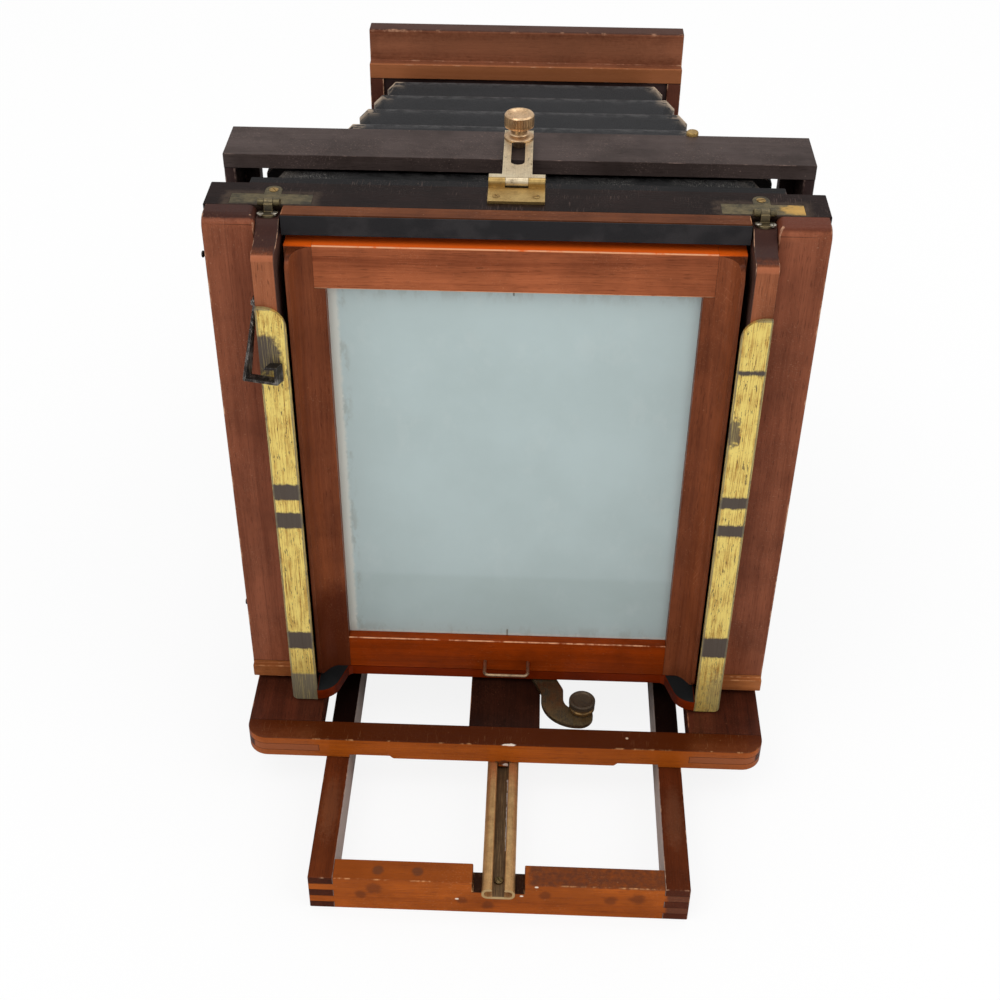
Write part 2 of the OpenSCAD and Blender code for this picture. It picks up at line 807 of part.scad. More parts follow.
// Plan of the swan-necked lever: hub, leaning arm, neck, quarter bend and round pad
module lever_plan() {
    outer = bend_r + neck_w / 2;
    translate([0, bolt_y]) circle(hub_r);
    translate([0, bolt_y]) rotate(lean) translate([-neck_w / 2, -reach]) square([neck_w, reach]);
    translate([join_x, elbow_y]) circle(neck_w / 2);
    translate([join_x - neck_w / 2, bend_y]) square([neck_w, elbow_rise]);
    intersection() {
        translate([bend_x, bend_y]) difference() {
            circle(outer);
            circle(bend_r - neck_w / 2);
        }
        translate([bend_x - outer - 1, bend_y - outer - 1]) square(outer + 1);
    }
    translate([pad_x, pad_y]) circle(pad_r);
}

module clamp_lever() {
    color("#6f6248") at_back() difference() {
        translate([0, 0, lever_z]) linear_extrude(lever_t) lever_plan();
        translate([0, bolt_y, lever_z - eps])
            cylinder(h = lever_t + 2 * eps, r = bolt_r + run_gap);
    }
}

module clamp_knob() {
    z = lever_z + lever_t;
    color("#7d6a45") at_back() translate([knob_x, knob_y, z]) rotate_extrude() polygon([
        [0, 0], [knob_r - 1, 0], [knob_r - 0.2, 0.8], [knob_r - 0.2, 2.6], [knob_r - 0.7, 3.1],
        [knob_r, 3.8], [knob_r, lever_knob_h - 1], [knob_r - 1.2, lever_knob_h],
        [0, lever_knob_h]]);
}

// ------------------------------------------------------------------ back
back_open_x = glass_w / 2 + open_side;
top_z = glass_high + open_end;

module back_stile() {
    block([back_open_x, frame_y, back_z], [half_w, frame_front, top_z]);
}

module back_stile_left() { color("#3a2b27") at_back() mirror([1, 0, 0]) back_stile(); }
module back_stile_right() { color("#3a2b27") at_back() back_stile(); }

bar_half = 21.5;
bar_set = 1.6;
bar_d = 11;
tab_r = 4.5;
tab_l = 9.5;
bar_back = frame_y + bar_set;
bar_front = bar_back + bar_d;
tab_front = bar_front + tab_l;

// Plan of one T-shaped hinge plate
module tee_plan() {
    translate([hinge_x - bar_half, bar_back]) square([2 * bar_half, bar_front - bar_back]);
    translate([hinge_x - tab_r, bar_front - 1]) square([2 * tab_r, tab_front - tab_r - bar_front + 1]);
    translate([hinge_x, tab_front - tab_r]) circle(tab_r);
}

tack_d = 6.7;
tack_h = 8;

// The back's top rail, with a lip on its front that the rear bellows is tacked to
module back_top_rail() {
    color("#3a2b27") at_back() difference() {
        union() {
            block([-half_w, frame_y, top_z], [half_w, frame_front, back_top]);
            block([-collar_x, frame_front - 1, back_top - tack_h],
                  [collar_x, frame_front + tack_d, back_top]);
        }
        pair() translate([0, 0, back_top - plate_t]) linear_extrude(plate_t + eps) tee_plan();
    }
}

module back_bottom_rail() {
    color("#3a2b27") at_back()
        block([-back_open_x, frame_y, back_z], [back_open_x, frame_front, glass_low - open_end]);
}

rail_corner = 4;

// A red side rail with a round edge along its top and a round inner corner
module side_rail() {
    difference() {
        block([side_x, 0, back_z + ledge_h], [side_x + side_w, side_d, back_top]);
        translate([side_x + rail_corner, 0, back_top - rail_corner]) difference() {
            block([-rail_corner - 1, -1, 0], [0, side_d + 1, rail_corner + 1]);
            rod_y([0, -2, 0], side_d + 4, rail_corner);
        }
        translate([0, side_round, back_top - side_round]) difference() {
            block([side_x - 1, -side_round - 1, 0], [side_x + side_w + 1, 0, side_round + 1]);
            rod_x([side_x - 2, 0, 0], side_w + 4, side_round);
        }
    }
}

module side_rail_left() { color("#8a4a33") at_back() mirror([1, 0, 0]) side_rail(); }
module side_rail_right() { color("#8a4a33") at_back() side_rail(); }

module back_ledges() {
    color("#a4501f") at_back() pair() profile_x(side_x, side_w) union() {
        translate([0, back_z]) square([side_d, ledge_h]);
        translate([-ledge_out, back_z]) square([ledge_out + 1, ledge_h - 2]);
    }
}

module back_fillet() {
    color("#8a4524") at_back()
        block([1 - arm_x, side_d - fillet_d, back_top - fillet_h], [arm_x - 1, side_d, back_top]);
}

module back_velvet() {
    color("#15171a") at_back()
        block([1 - arm_x, side_d - fillet_d - 0.8, back_top - fillet_h],
              [arm_x - 1, side_d - fillet_d, back_top - 0.6]);
}

ear_space = 5;
ear_w = (swing_w - ear_space) / 2;

// The T plates with two ears each, which hold the swing pin
module hinge_plates() {
    color("#8f8158") at_back() pair() {
        translate([0, 0, back_top - plate_t]) linear_extrude(plate_t) tee_plan();
        for (s = [-1, 1]) difference() {
            union() {
                rod_x([hinge_x + s * (swing_w - ear_w) / 2 - ear_w / 2, swing_y, swing_z],
                      ear_w, swing_r);
                block([hinge_x + s * (swing_w - ear_w) / 2 - ear_w / 2, swing_y, back_top],
                      [hinge_x + s * (swing_w - ear_w) / 2 + ear_w / 2, bar_back + 3, swing_z]);
            }
            rod_x([hinge_x - swing_w, swing_y, swing_z], 2 * swing_w, swing_pin_r + run_gap);
        }
    }
}

knuckle_w = 9;
base_l = 18.5;
base_t = 1.6;

// Base leaf of the strap's hinge, with its two outer knuckles and the pin
module strap_base() {
    color("#b8973f") at_back() {
        difference() {
            union() {
                block([-strap_half, strap_y - base_l, back_top],
                      [strap_half, strap_y, back_top + base_t]);
                rod_x([-strap_half, strap_y, strap_z], 2 * strap_half, strap_r);
                block([-strap_half, strap_y - strap_r, back_top], [strap_half, strap_y, strap_z]);
            }
            block([knuckle_w - strap_half - 0.2, strap_y - strap_r - 0.4, back_top - 1],
                  [strap_half - knuckle_w + 0.2, strap_y + strap_r + 1, strap_z + strap_r + 1]);
        }
        rod_x([-strap_half, strap_y, strap_z], 2 * strap_half, strap_pin_r);
    }
}

slot_l = 38;
slot_room = 0.8;
slot_tail = 5.5;
slot_far = thumb_y - strap_y + stem_r + slot_room;
slot_near = slot_far - slot_l;
strap_len = slot_far + slot_tail;
strap_low = strap_z - strap_t / 3;
tee_d = 4;

// The slotted strap: a knuckle on the pin, a short cross bar and a slotted tongue
module slotted_strap() {
    mid = strap_half - knuckle_w;
    color("#b8973f") at_back() difference() {
        union() {
            rod_x([-mid, strap_y, strap_z], 2 * mid, strap_r);
            block([-mid, strap_y, strap_low], [mid, strap_y + strap_r + 1, strap_low + strap_t]);
            block([-strap_half, strap_y + strap_r + 0.6, strap_low],
                  [strap_half, strap_y + strap_r + 0.6 + tee_d, strap_low + strap_t]);
            block([-strap_w / 2, strap_y + strap_r + tee_d, strap_low],
                  [strap_w / 2, strap_y + strap_len, strap_low + strap_t]);
        }
        rod_x([-mid - 1, strap_y, strap_z], 2 * mid + 2, strap_pin_r + run_gap);
        translate([0, strap_y, strap_low - eps]) linear_extrude(strap_t + 2 * eps) {
            translate([-slot_w / 2, slot_near + slot_w / 2])
                square([slot_w, slot_far - slot_near - slot_w]);
            for (y = [slot_near + slot_w / 2, slot_far - slot_w / 2])
                translate([0, y]) circle(slot_w / 2);
        }
    }
}

// The thumbscrew with its flange, collar and knob
module top_thumbscrew() {
    z = strap_low + strap_t + 0.2;
    color("#a08453") at_back() translate([0, thumb_y, 0]) rotate_extrude() polygon([
        [0, hoop_under + 0.5], [stem_r, hoop_under + 0.5], [stem_r, z], [knob_r, z],
        [knob_r, z + 1.2], [knob_r - 1.6, z + 2], [knob_r - 3.2, z + 2.2], [knob_r - 3.6, z + 6.4],
        [knob_r - 0.6, z + 6.6], [knob_r, z + 7.2], [knob_r, z + 13.4], [knob_r - 0.8, z + 14.2],
        [0, z + 14.2]]);
}

// ---------------------------------------------------------------- cradle
arm_drop = 3.3;
arm_top = back_top - arm_drop;
arm_front = side_d - side_gap;
leaf_l = 7.7;
leaf_back = swing_y - leaf_l;
bead_r = 3.7;
ogee_d = leaf_back - side_gap + arm_out - bead_r;
ogee_h = 8;
ogee_r = (ogee_d * ogee_d + ogee_h * ogee_h) / (2 * ogee_h);

// Side outline of an arm: an ogee from its top down to a bead, straight below that
module arm_outline() {
    bead_z = arm_top - ogee_h;
    difference() {
        union() {
            translate([-arm_out, back_z])
                square([arm_out + arm_front, bead_z - bead_r - back_z]);
            translate([bead_r - arm_out, bead_z - bead_r - eps])
                square([arm_out - bead_r + arm_front, ogee_h + bead_r + eps]);
            translate([bead_r - arm_out, bead_z - bead_r]) circle(bead_r);
        }
        intersection() {
            translate([bead_r - arm_out, bead_z + ogee_r]) circle(ogee_r);
            translate([bead_r - arm_out - eps, bead_z]) square([ogee_d + eps, ogee_h + 1]);
        }
    }
}

module arm_right() {
    color("#5a2f24") at_back() profile_x(arm_x, arm_t) arm_outline();
}

latch_pin_r = 1.5;
latch_pin_l = 7;

// The left arm has the hole that the latch turns in
module arm_left() {
    color("#5a2f24") at_back() mirror([1, 0, 0]) difference() {
        profile_x(arm_x, arm_t) arm_outline();
        rod_x([arm_out_x - latch_pin_l - 0.5, latch_y, latch_z], latch_pin_l + 1,
              latch_pin_r + run_gap);
    }
}

strip_drop = 2.7;
strip_low = back_z - strip_drop;
strip_round = 12;

// Face of one brass strip: the inner top corner is a quarter round
module strip_face() {
    translate([strip_in, strip_low + 3]) square([strip_w, strip_top - strip_low - strip_round - 3]);
    translate([strip_in, strip_low]) square([strip_w - 3, 3 + eps]);
    translate([arm_out_x - 3, strip_low + 3]) circle(3);
    translate([strip_in + strip_round, strip_top - strip_round - eps])
        square([strip_w - strip_round, strip_round + eps]);
    intersection() {
        translate([strip_in + strip_round, strip_top - strip_round]) circle(strip_round);
        translate([strip_in, strip_top - strip_round - eps]) square([strip_round + eps, strip_round + 1]);
    }
}

module brass_strips() {
    color("#c9a24a") at_back() pair() profile_y(strip_y, strip_t) strip_face();
}

ear_x = strip_in - side_gap;
ear_y = ear_r - ear_out;
ear_lean = 18;        // of the ears' inner sides, from the Y axis
root_r = 6;           // of the hollow between an ear and the shelf's bar
felt_rim = 0.5;       // of wood that shows round the felt
ear_rim = 0.4;        // of wood that shows beside the felt's outer side
ear_cross = 6;        // between an ear's inner side and its round end, so that they cross
ear_in = gg_y + 3;    // where the ears end inside the shelf's bar
root_bite = 0.3;      // how far the hollow's cutter crosses the faces beside it

// X of an ear's inner side at y, for a round end of radius r
function ear_side(r, y) = ear_x - r * cos(ear_lean - ear_cross)
    - (y - ear_y + r * sin(ear_lean - ear_cross)) * tan(ear_lean);

// The right ear, narrower by inset: a quarter disc and the leaning piece in front of it
module ear(inset, h) {
    r = ear_r - inset;
    low = ear_y - r * sin(ear_lean);
    intersection() {
        translate([ear_x, ear_y, 0]) cylinder(h = h, r = r);
        block([ear_x - 2 * r, ear_y - 2 * r, 0], [ear_x, ear_y + eps, h]);
    }
    linear_extrude(h)
        polygon([[ear_side(r, low), low], [ear_side(r, ear_in), ear_in], [ear_x, ear_in], [ear_x, low]]);
}

// The hollow that leads from the right ear's inner side into the shelf's bar
module ear_root(h) {
    root_x = ear_side(ear_r, gg_y) - root_r * (1 - sin(ear_lean)) / cos(ear_lean);
    tip_x = root_x + root_r * cos(ear_lean);
    difference() {
        linear_extrude(h)
            polygon([[root_x, gg_y - root_r], [tip_x, gg_y - root_r * (1 - sin(ear_lean))],
                     [tip_x + root_r, ear_in], [root_x, ear_in]]);
        translate([root_x, gg_y - root_r, -1]) cylinder(h = h + 2, r = root_r + root_bite);
    }
}

// The felt on the right ear, or its pocket, of height h
module ear_felt(h) {
    intersection() {
        ear(felt_rim, h);
        block([0, ear_y - 2 * ear_r, -1], [ear_x - ear_rim, gg_y, h + 1]);
    }
}

module shelf() {
    wood_t = shelf_t - felt_t;
    color("#93502c") at_back() translate([0, 0, back_z]) difference() {
        union() {
            block([-arm_x + side_gap, gg_y, 0], [arm_x - side_gap, arm_front, wood_t]);
            pair() ear(0, wood_t);
            pair() ear_root(wood_t);
        }
        translate([0, 0, wood_t - felt_t]) pair() ear_felt(felt_t + 1);
    }
}

module shelf_felts() {
    color("#15171a") at_back() translate([0, 0, shelf_top - felt_t]) pair() ear_felt(felt_t);
}

leaf_r = swing_w / 2 - 2 * side_gap;

// Leaves on the arms' tops with a round end each, the middle knuckles and their pins
module hinge_leaves() {
    mid = swing_w - 2 * ear_w - 0.4;
    color("#8f8158") at_back() pair() {
        block([hinge_x - leaf_r, leaf_back + leaf_r, arm_top],
              [hinge_x + leaf_r, swing_y - swing_r, arm_top + plate_t]);
        translate([hinge_x, leaf_back + leaf_r, arm_top]) intersection() {
            cylinder(h = plate_t, r = leaf_r);
            block([-leaf_r, -leaf_r, 0], [leaf_r, eps, plate_t]);
        }
        block([hinge_x - mid / 2, swing_y - swing_r - 1, arm_top],
              [hinge_x + mid / 2, swing_y, swing_z]);
        rod_x([hinge_x - mid / 2, swing_y, swing_z], mid, swing_r);
        rod_x([hinge_x - swing_w / 2, swing_y, swing_z], swing_w, swing_pin_r);
    }
}

// ---------------------------------------------------- ground glass frame
lip_x = strip_in - 0.5;
rebate_w = 3.5;
glass_set = 6.4;
sight_w = 6;
glass_y = gg_y + glass_set;
cove_x = glass_w / 2 + sight_w;
cove_top = 2;

// Plan of a stile: a flange, a tall outer cheek, a cove and the flat sight edge
module stile_plan() {
    difference() {
        union() {
            translate([glass_w / 2, gg_y]) square([stile_w, gg_d]);
            translate([cove_x, gg_y - cove_out]) square([lip_x - cove_x, cove_out + eps]);
        }
        translate([cove_x, gg_y - cove_out]) scale([1, cove_out / (lip_x - cove_top - cove_x)])
            circle(lip_x - cove_top - cove_x);
        translate([glass_w / 2 - eps, glass_y]) square([rebate_w + eps, gg_d]);
    }
}

cheek_top_r = 8;
cheek_foot_r = 10;

// Side outline of a stile, round at the top and at the foot of its cheek
module stile_side() {
    cheek_top = gg_top - 1;
    ridge = gg_y - cove_out;
    translate([gg_y - eps, gg_z]) square([gg_d + 1, gg_top - gg_z]);
    translate([ridge, gg_z + cheek_foot_r])
        square([cove_out, cheek_top - cheek_top_r - cheek_foot_r - gg_z]);
    translate([ridge + cheek_top_r, cheek_top - cheek_top_r - eps])
        square([cove_out - cheek_top_r, cheek_top_r]);
    translate([ridge + cheek_top_r, cheek_top - cheek_top_r]) circle(cheek_top_r);
    translate([ridge + cheek_foot_r, gg_z]) square([cove_out - cheek_foot_r, cheek_foot_r + eps]);
    translate([ridge + cheek_foot_r, gg_z + cheek_foot_r]) circle(cheek_foot_r);
}

// A stile, cut back at its top where the top rail runs over it
module glass_stile() {
    difference() {
        intersection() {
            translate([0, 0, gg_z]) linear_extrude(gg_top - gg_z) stile_plan();
            profile_x(glass_w / 2 - 1, stile_w + 2) stile_side();
        }
        block([glass_w / 2 - 1, gg_y - eps, glass_high], [cove_x, gg_front + 1, gg_top + 1]);
    }
}

module glass_stile_left() { color("#8c4526") at_back() mirror([1, 0, 0]) glass_stile(); }
module glass_stile_right() { color("#8c4526") at_back() glass_stile(); }

// A rail, rebated along the edge that meets the glass
module glass_rail(half, z, h, rebate_x, rebate_z) {
    difference() {
        block([-half, gg_y, z], [half, gg_front, z + h]);
        translate([0, 0, rebate_z])
            block([-rebate_x, glass_y, 0], [rebate_x, gg_front + eps, rebate_w + eps]);
    }
}

// The top rail runs over the stiles as far as their cheeks
module glass_rail_top() {
    color("#8c4526") at_back()
        glass_rail(cove_x, glass_high, gg_top_h, glass_w / 2 + rebate_w, glass_high - eps);
}

module glass_rail_bottom() {
    color("#8c4526") at_back()
        glass_rail(glass_w / 2, gg_z, gg_bottom_h, glass_w / 2 + eps, glass_low - rebate_w);
}

module ground_glass() {
    edge = rebate_w - 0.2;
    color([0.62, 0.72, 0.74, 0.9]) at_back()
        block([-glass_w / 2 - edge, glass_y, glass_low - edge],
              [glass_w / 2 + edge, glass_y + glass_t, glass_high + edge]);
}

wire_r = 1.1;
wire_bend = 3;
handle_rise = 7.3;
handle_z = gg_z + handle_rise;

// A bent wire handle: two legs, two round bends and the bar
module pull_handle() {
    half = handle_w / 2;
    color("#7b6a55") at_back() translate([0, gg_y, handle_z]) {
        pair() {
            rod_y([half, wire_bend - handle_out, 0], handle_out - wire_bend, wire_r);
            translate([half - wire_bend, wire_bend - handle_out, 0]) intersection() {
                rotate_extrude() translate([wire_bend, 0]) circle(wire_r, $fn = 24);
                block([0, -2 * wire_bend, -wire_r], [2 * wire_bend, 0, wire_r]);
            }
        }
        rod_x([wire_bend - half, -handle_out, 0], handle_w - 2 * wire_bend, wire_r);
    }
}

// ----------------------------------------------------------------- latch
hook_d = 5;
hook_t = 1.4;
hook_skew = 2.6;
hook_x = arm_out_x + side_gap;
hook_y = strip_y - 1;
hook_drop = 42.5;
hook_reach = 10;
hook_h = 11;
hook_fall = 2.6;
hook_lip = 6.4;
hook_lean = 7;
eye_r = 3.6;
hook_z = latch_z - hook_drop;
hook_tip = hook_x - hook_reach;
foot_x = hook_x + hook_lean;

// A short level stretch of the hook's strip, whose faces stand a little askew
module blade(x, z, l) {
    translate([0, 0, z]) linear_extrude(hook_t) polygon([
        [x, hook_y - hook_d], [x + l, hook_y - hook_d],
        [x + l - hook_skew, hook_y], [x - hook_skew, hook_y]]);
}

// Steel hook: an eye on its pin, a shank that leans out, a foot across the arm and a tip
module latch_hook() {
    top = hook_z + hook_h - hook_t;
    color("#3b3b3d") at_back() mirror([1, 0, 0]) {
        rod_x([hook_x - latch_pin_l, latch_y, latch_z], latch_pin_l + 2.6, latch_pin_r);
        rod_x([hook_x, latch_y, latch_z], hook_t, eye_r);
        hull() {
            block([hook_x, latch_y - 2, latch_z - 2], [hook_x + hook_t, latch_y + 1, latch_z]);
            blade(foot_x, hook_z + hook_fall, hook_t);
        }
        hull() {
            blade(foot_x, hook_z + hook_fall, hook_t);
            blade(hook_tip, hook_z, hook_t);
        }
        hull() {
            blade(hook_tip, hook_z, hook_t);
            blade(hook_tip, top, hook_t);
        }
        blade(hook_tip, top, hook_lip);
    }
}

bed_rail_left();
bed_rail_right();
bed_rear_bar();
bed_front_bar();
bed_middle_bar();
tripod_bush();
track_channel();
track_screws();
front_leg_left();
front_leg_right();
front_top_rail();
front_throat_board();
panel_guides();
rising_panel();
lens_board();
lens_flange();
lens_barrel();
lens_glasses();
panel_screw_left();
panel_screw_right();
carriage_rear_bar();
carriage_wings();
carriage_centre_board();
carriage_front_bar();
clamp_bolt();
hoop_legs();
hoop_top_bar();
bellows_collar();
bellows_front();
tilt_hinge_leaves();
clamp_lever();
clamp_knob();
back_stile_left();
back_stile_right();
back_top_rail();
back_bottom_rail();
side_rail_left();
side_rail_right();
back_ledges();
back_fillet();
back_velvet();
hinge_plates();
strap_base();
bellows_rear();
tilt_hinge_knuckles();
slotted_strap();
top_thumbscrew();
arm_left();
arm_right();
brass_strips();
shelf();
shelf_felts();
hinge_leaves();
glass_stile_left();
glass_stile_right();
glass_rail_top();
glass_rail_bottom();
ground_glass();
pull_handle();
latch_hook();
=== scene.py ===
"""Looks of a wooden studio view camera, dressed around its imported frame.

Every finish is worked out from the object's own coordinates, in millimetres, and every new
piece is a surface computed as whole arrays. The frame's boxes give the pieces' places and
sizes; stains, chips and bands have places of their own.
"""

import json
import logging
import math
from dataclasses import astuple, dataclass, field, replace
from enum import Enum
from typing import Iterable, Sequence, Union

import bmesh
import bpy
import numpy as np
from mathutils import Matrix, Vector
from mathutils.bvhtree import BVHTree

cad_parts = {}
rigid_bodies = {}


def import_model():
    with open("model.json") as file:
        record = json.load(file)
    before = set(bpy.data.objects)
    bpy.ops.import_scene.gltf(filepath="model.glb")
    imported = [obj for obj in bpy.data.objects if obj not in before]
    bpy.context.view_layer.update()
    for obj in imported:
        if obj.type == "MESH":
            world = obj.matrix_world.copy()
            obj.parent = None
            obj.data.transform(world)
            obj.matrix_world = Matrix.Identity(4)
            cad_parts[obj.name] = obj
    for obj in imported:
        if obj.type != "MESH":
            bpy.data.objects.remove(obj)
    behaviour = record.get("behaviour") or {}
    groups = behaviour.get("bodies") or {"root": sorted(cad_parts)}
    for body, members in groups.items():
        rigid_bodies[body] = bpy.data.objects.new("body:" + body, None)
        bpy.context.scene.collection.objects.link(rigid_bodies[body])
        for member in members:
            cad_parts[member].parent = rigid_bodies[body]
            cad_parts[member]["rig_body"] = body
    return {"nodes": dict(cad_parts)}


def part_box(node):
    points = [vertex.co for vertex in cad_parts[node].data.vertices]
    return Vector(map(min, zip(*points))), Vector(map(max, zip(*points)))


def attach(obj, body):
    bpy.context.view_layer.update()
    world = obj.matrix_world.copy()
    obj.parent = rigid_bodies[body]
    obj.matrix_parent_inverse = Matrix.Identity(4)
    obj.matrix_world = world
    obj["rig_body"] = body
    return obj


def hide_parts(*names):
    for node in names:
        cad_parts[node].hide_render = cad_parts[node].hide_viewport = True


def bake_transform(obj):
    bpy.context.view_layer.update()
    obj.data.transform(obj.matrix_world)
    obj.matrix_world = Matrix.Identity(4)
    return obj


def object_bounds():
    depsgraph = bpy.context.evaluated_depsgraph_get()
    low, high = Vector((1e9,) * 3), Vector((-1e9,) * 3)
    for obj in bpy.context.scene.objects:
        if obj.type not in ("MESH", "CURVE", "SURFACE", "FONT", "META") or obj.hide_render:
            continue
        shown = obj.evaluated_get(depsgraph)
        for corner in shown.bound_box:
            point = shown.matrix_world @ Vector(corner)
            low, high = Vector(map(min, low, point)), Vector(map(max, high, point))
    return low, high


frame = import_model()
CAD_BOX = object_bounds()
MM = 0.001
Colour = tuple[float, float, float, float]
Span = tuple[float | None, float | None]
Place = tuple[float, float, float]
Line = Sequence[tuple[float, float]]
WHITE: Colour = (1.0, 1.0, 1.0, 1.0)
log = logging.getLogger("view_camera")


def tone(red: int, green: int, blue: int) -> Colour:
    """A paint mixed from display values of 0 to 255, as the linear colour that shaders take."""
    share = np.array([red, green, blue]) / 255
    linear = np.where(share <= 0.04045, share / 12.92, ((share + 0.055) / 1.055) ** 2.4)
    return (*linear.tolist(), 1.0)


def deeper(colour: Colour, share: float) -> Colour:
    """A colour with only that share of its light."""
    return (*(share * part for part in colour[:3]), 1.0)


# ------------------------------------------------------------------ shader arithmetic
class Sock:
    """One number, vector or colour in a material's node tree, which arithmetic works on."""

    def __init__(self, tree: "Tree", link: bpy.types.NodeSocket) -> None:
        """Keeps the tree and the output that gives the value."""
        self.tree = tree
        self.link = link

    def math(self, operation: str, *values: "Value") -> "Sock":
        """A Math node of that operation on this value and the others."""
        inputs = dict(enumerate((self, *values)))
        return self.tree.node("ShaderNodeMath", {"operation": operation}, inputs)

    def behind(self, operation: str, first: float) -> "Sock":
        """A Math node with a plain number first and this value second."""
        return self.tree.node("ShaderNodeMath", {"operation": operation}, {0: first, 1: self})

    def __add__(self, other: "Value") -> "Sock":
        """Sum."""
        return self.math("ADD", other)

    def __radd__(self, other: float) -> "Sock":
        """Sum with a plain number first."""
        return self.behind("ADD", other)

    def __sub__(self, other: "Value") -> "Sock":
        """Difference."""
        return self.math("SUBTRACT", other)

    def __rsub__(self, other: float) -> "Sock":
        """Difference from a plain number."""
        return self.behind("SUBTRACT", other)

    def __mul__(self, other: "Value") -> "Sock":
        """Product."""
        return self.math("MULTIPLY", other)

    def __rmul__(self, other: float) -> "Sock":
        """Product with a plain number first."""
        return self.behind("MULTIPLY", other)

    def __abs__(self) -> "Sock":
        """Distance from zero."""
        return self.math("ABSOLUTE")

    def most(self, other: "Value") -> "Sock":
        """The larger of two values."""
        return self.math("MAXIMUM", other)

    def clear(self) -> "Sock":
        """The value held between 0 and 1."""
        return self.tree.node("ShaderNodeClamp", {}, {0: self})

    def above(self, edge: float, soft: float) -> "Sock":
        """A mask that rises smoothly from 0 to 1 over a width of soft around edge."""
        return self.tree.node(
            "ShaderNodeMapRange",
            {"interpolation_type": "SMOOTHSTEP"},
            {0: self, 1: edge - soft / 2, 2: edge + soft / 2},
        )

    def below(self, edge: float, soft: float) -> "Sock":
        """A mask that falls smoothly from 1 to 0 over a width of soft around edge."""
        return 1 - self.above(edge, soft)

    def axis(self, index: int) -> "Sock":
        """One coordinate of a vector."""
        return self.tree.node("ShaderNodeSeparateXYZ", {}, {0: self}, index)

    def stretched(self, factors: float | Sequence[float], shift: Sequence[float] = (0, 0, 0)) -> "Sock":
        """A vector with each coordinate multiplied by its factor, or by one for all, then shifted."""
        each = (factors,) * 3 if isinstance(factors, (int, float)) else tuple(factors)
        values = {0: self, 1: each, 2: tuple(shift)}
        return self.tree.node("ShaderNodeVectorMath", {"operation": "MULTIPLY_ADD"}, values)


Value = Union[Sock, float]


class Tree:
    """The node tree of one material while it is being worked out."""

    def __init__(self, name: str) -> None:
        """Starts an empty material of that name."""
        self.material = bpy.data.materials.new(name)
        self.material.use_nodes = True
        self.graph = self.material.node_tree
        self.graph.nodes.clear()

    def node(
        self,
        kind: str,
        settings: dict[str, object] | None = None,
        values: dict[int | str, object] | None = None,
        output: int = 0,
    ) -> Sock:
        """Adds a node.

        Args:
            kind: the node's type.
            settings: its properties, set before anything is linked.
            values: what goes into its sockets, as plain values or as links.
            output: which of its outputs is wanted.

        Returns:
            The wanted output.
        """
        made = self.graph.nodes.new(kind)
        for key, setting in (settings or {}).items():
            setattr(made, key, setting)
        for key, value in (values or {}).items():
            if isinstance(value, Sock):
                self.graph.links.new(value.link, made.inputs[key])
            else:
                made.inputs[key].default_value = value
        return Sock(self, made.outputs[output] if made.outputs else None)

    def place(self) -> Sock:
        """The object's own coordinates in millimetres."""
        own = self.node("ShaderNodeTexCoord", output=3)
        return own.stretched(1 / MM)

    def facing(self) -> Sock:
        """The surface's own direction, in the object's coordinates."""
        return self.node("ShaderNodeTexCoord", output=1)

    def attribute(self, name: str) -> Sock:
        """A number that the mesh carries under that name."""
        return self.node("ShaderNodeAttribute", {"attribute_name": name}, output=2)

    def noise(self, at: Sock, detail: float = 2, rough: float = 0.5) -> Sock:
        """Smooth noise from 0 to 1, one lump to each unit of the vector."""
        values = {"Vector": at, "Scale": 1.0, "Detail": detail, "Roughness": rough}
        return self.node("ShaderNodeTexNoise", {}, values)

    def wobble(self, at: Sock, reach: float, detail: float = 3, rough: float = 0.6) -> Sock:
        """Noise about zero that strays by about reach."""
        return (self.noise(at, detail, rough) - 0.5) * (2 * reach)

    def cells(self, at: Sock) -> Sock:
        """Distance from the nearest of scattered points."""
        return self.node("ShaderNodeTexVoronoi", {"feature": "F1"}, {"Vector": at, "Scale": 1.0})

    def blend(self, share: Value, first: "Sock | Colour", second: "Sock | Colour") -> Sock:
        """The first colour where share is 0, the second where it is 1."""
        values = {0: share, 6: first, 7: second}
        return self.node("ShaderNodeMix", {"data_type": "RGBA"}, values, 2)

    def scratches(self, at: Sock, turn: float, length: float, width: float, sparse: float = 0.74) -> Sock:
        """Thin short streaks: a noise drawn out along one turned direction, kept at its peaks.

        Args:
            at: coordinates in millimetres.
            turn: turn of the streaks about the X axis and the Y axis, in radians.
            length: length of a streak in millimetres.
            width: width of a streak in millimetres.
            sparse: the level that a peak passes; higher leaves fewer streaks.
        """
        rotated = self.node(
            "ShaderNodeVectorRotate",
            {"rotation_type": "EULER_XYZ"},
            {"Vector": at, "Rotation": (turn, turn * 0.8, 0.0)},
        )
        streak = self.noise(rotated.stretched((1 / width, 1 / width, 1 / length)), 0).above(sparse, 0.06)
        kept = self.noise(at.stretched(0.03, (7.1, 2.3, 5.9)), 2).above(0.5, 0.2)
        return streak * kept

    def bump(self, height: Sock, strength: float, depth: float = 0.3) -> Sock:
        """Normals tilted by a height from 0 to 1 that stands for depth millimetres."""
        values = {"Height": height, "Strength": strength, "Distance": depth * MM}
        return self.node("ShaderNodeBump", {}, values)

    def shade(self, **values: object) -> bpy.types.Material:
        """Ends the tree in a Principled shader whose sockets take these values."""
        named = {key.replace("_", " "): value for key, value in values.items()}
        surface = self.node("ShaderNodeBsdfPrincipled", {}, named)
        self.node("ShaderNodeOutputMaterial", {}, {"Surface": surface})
        return self.material


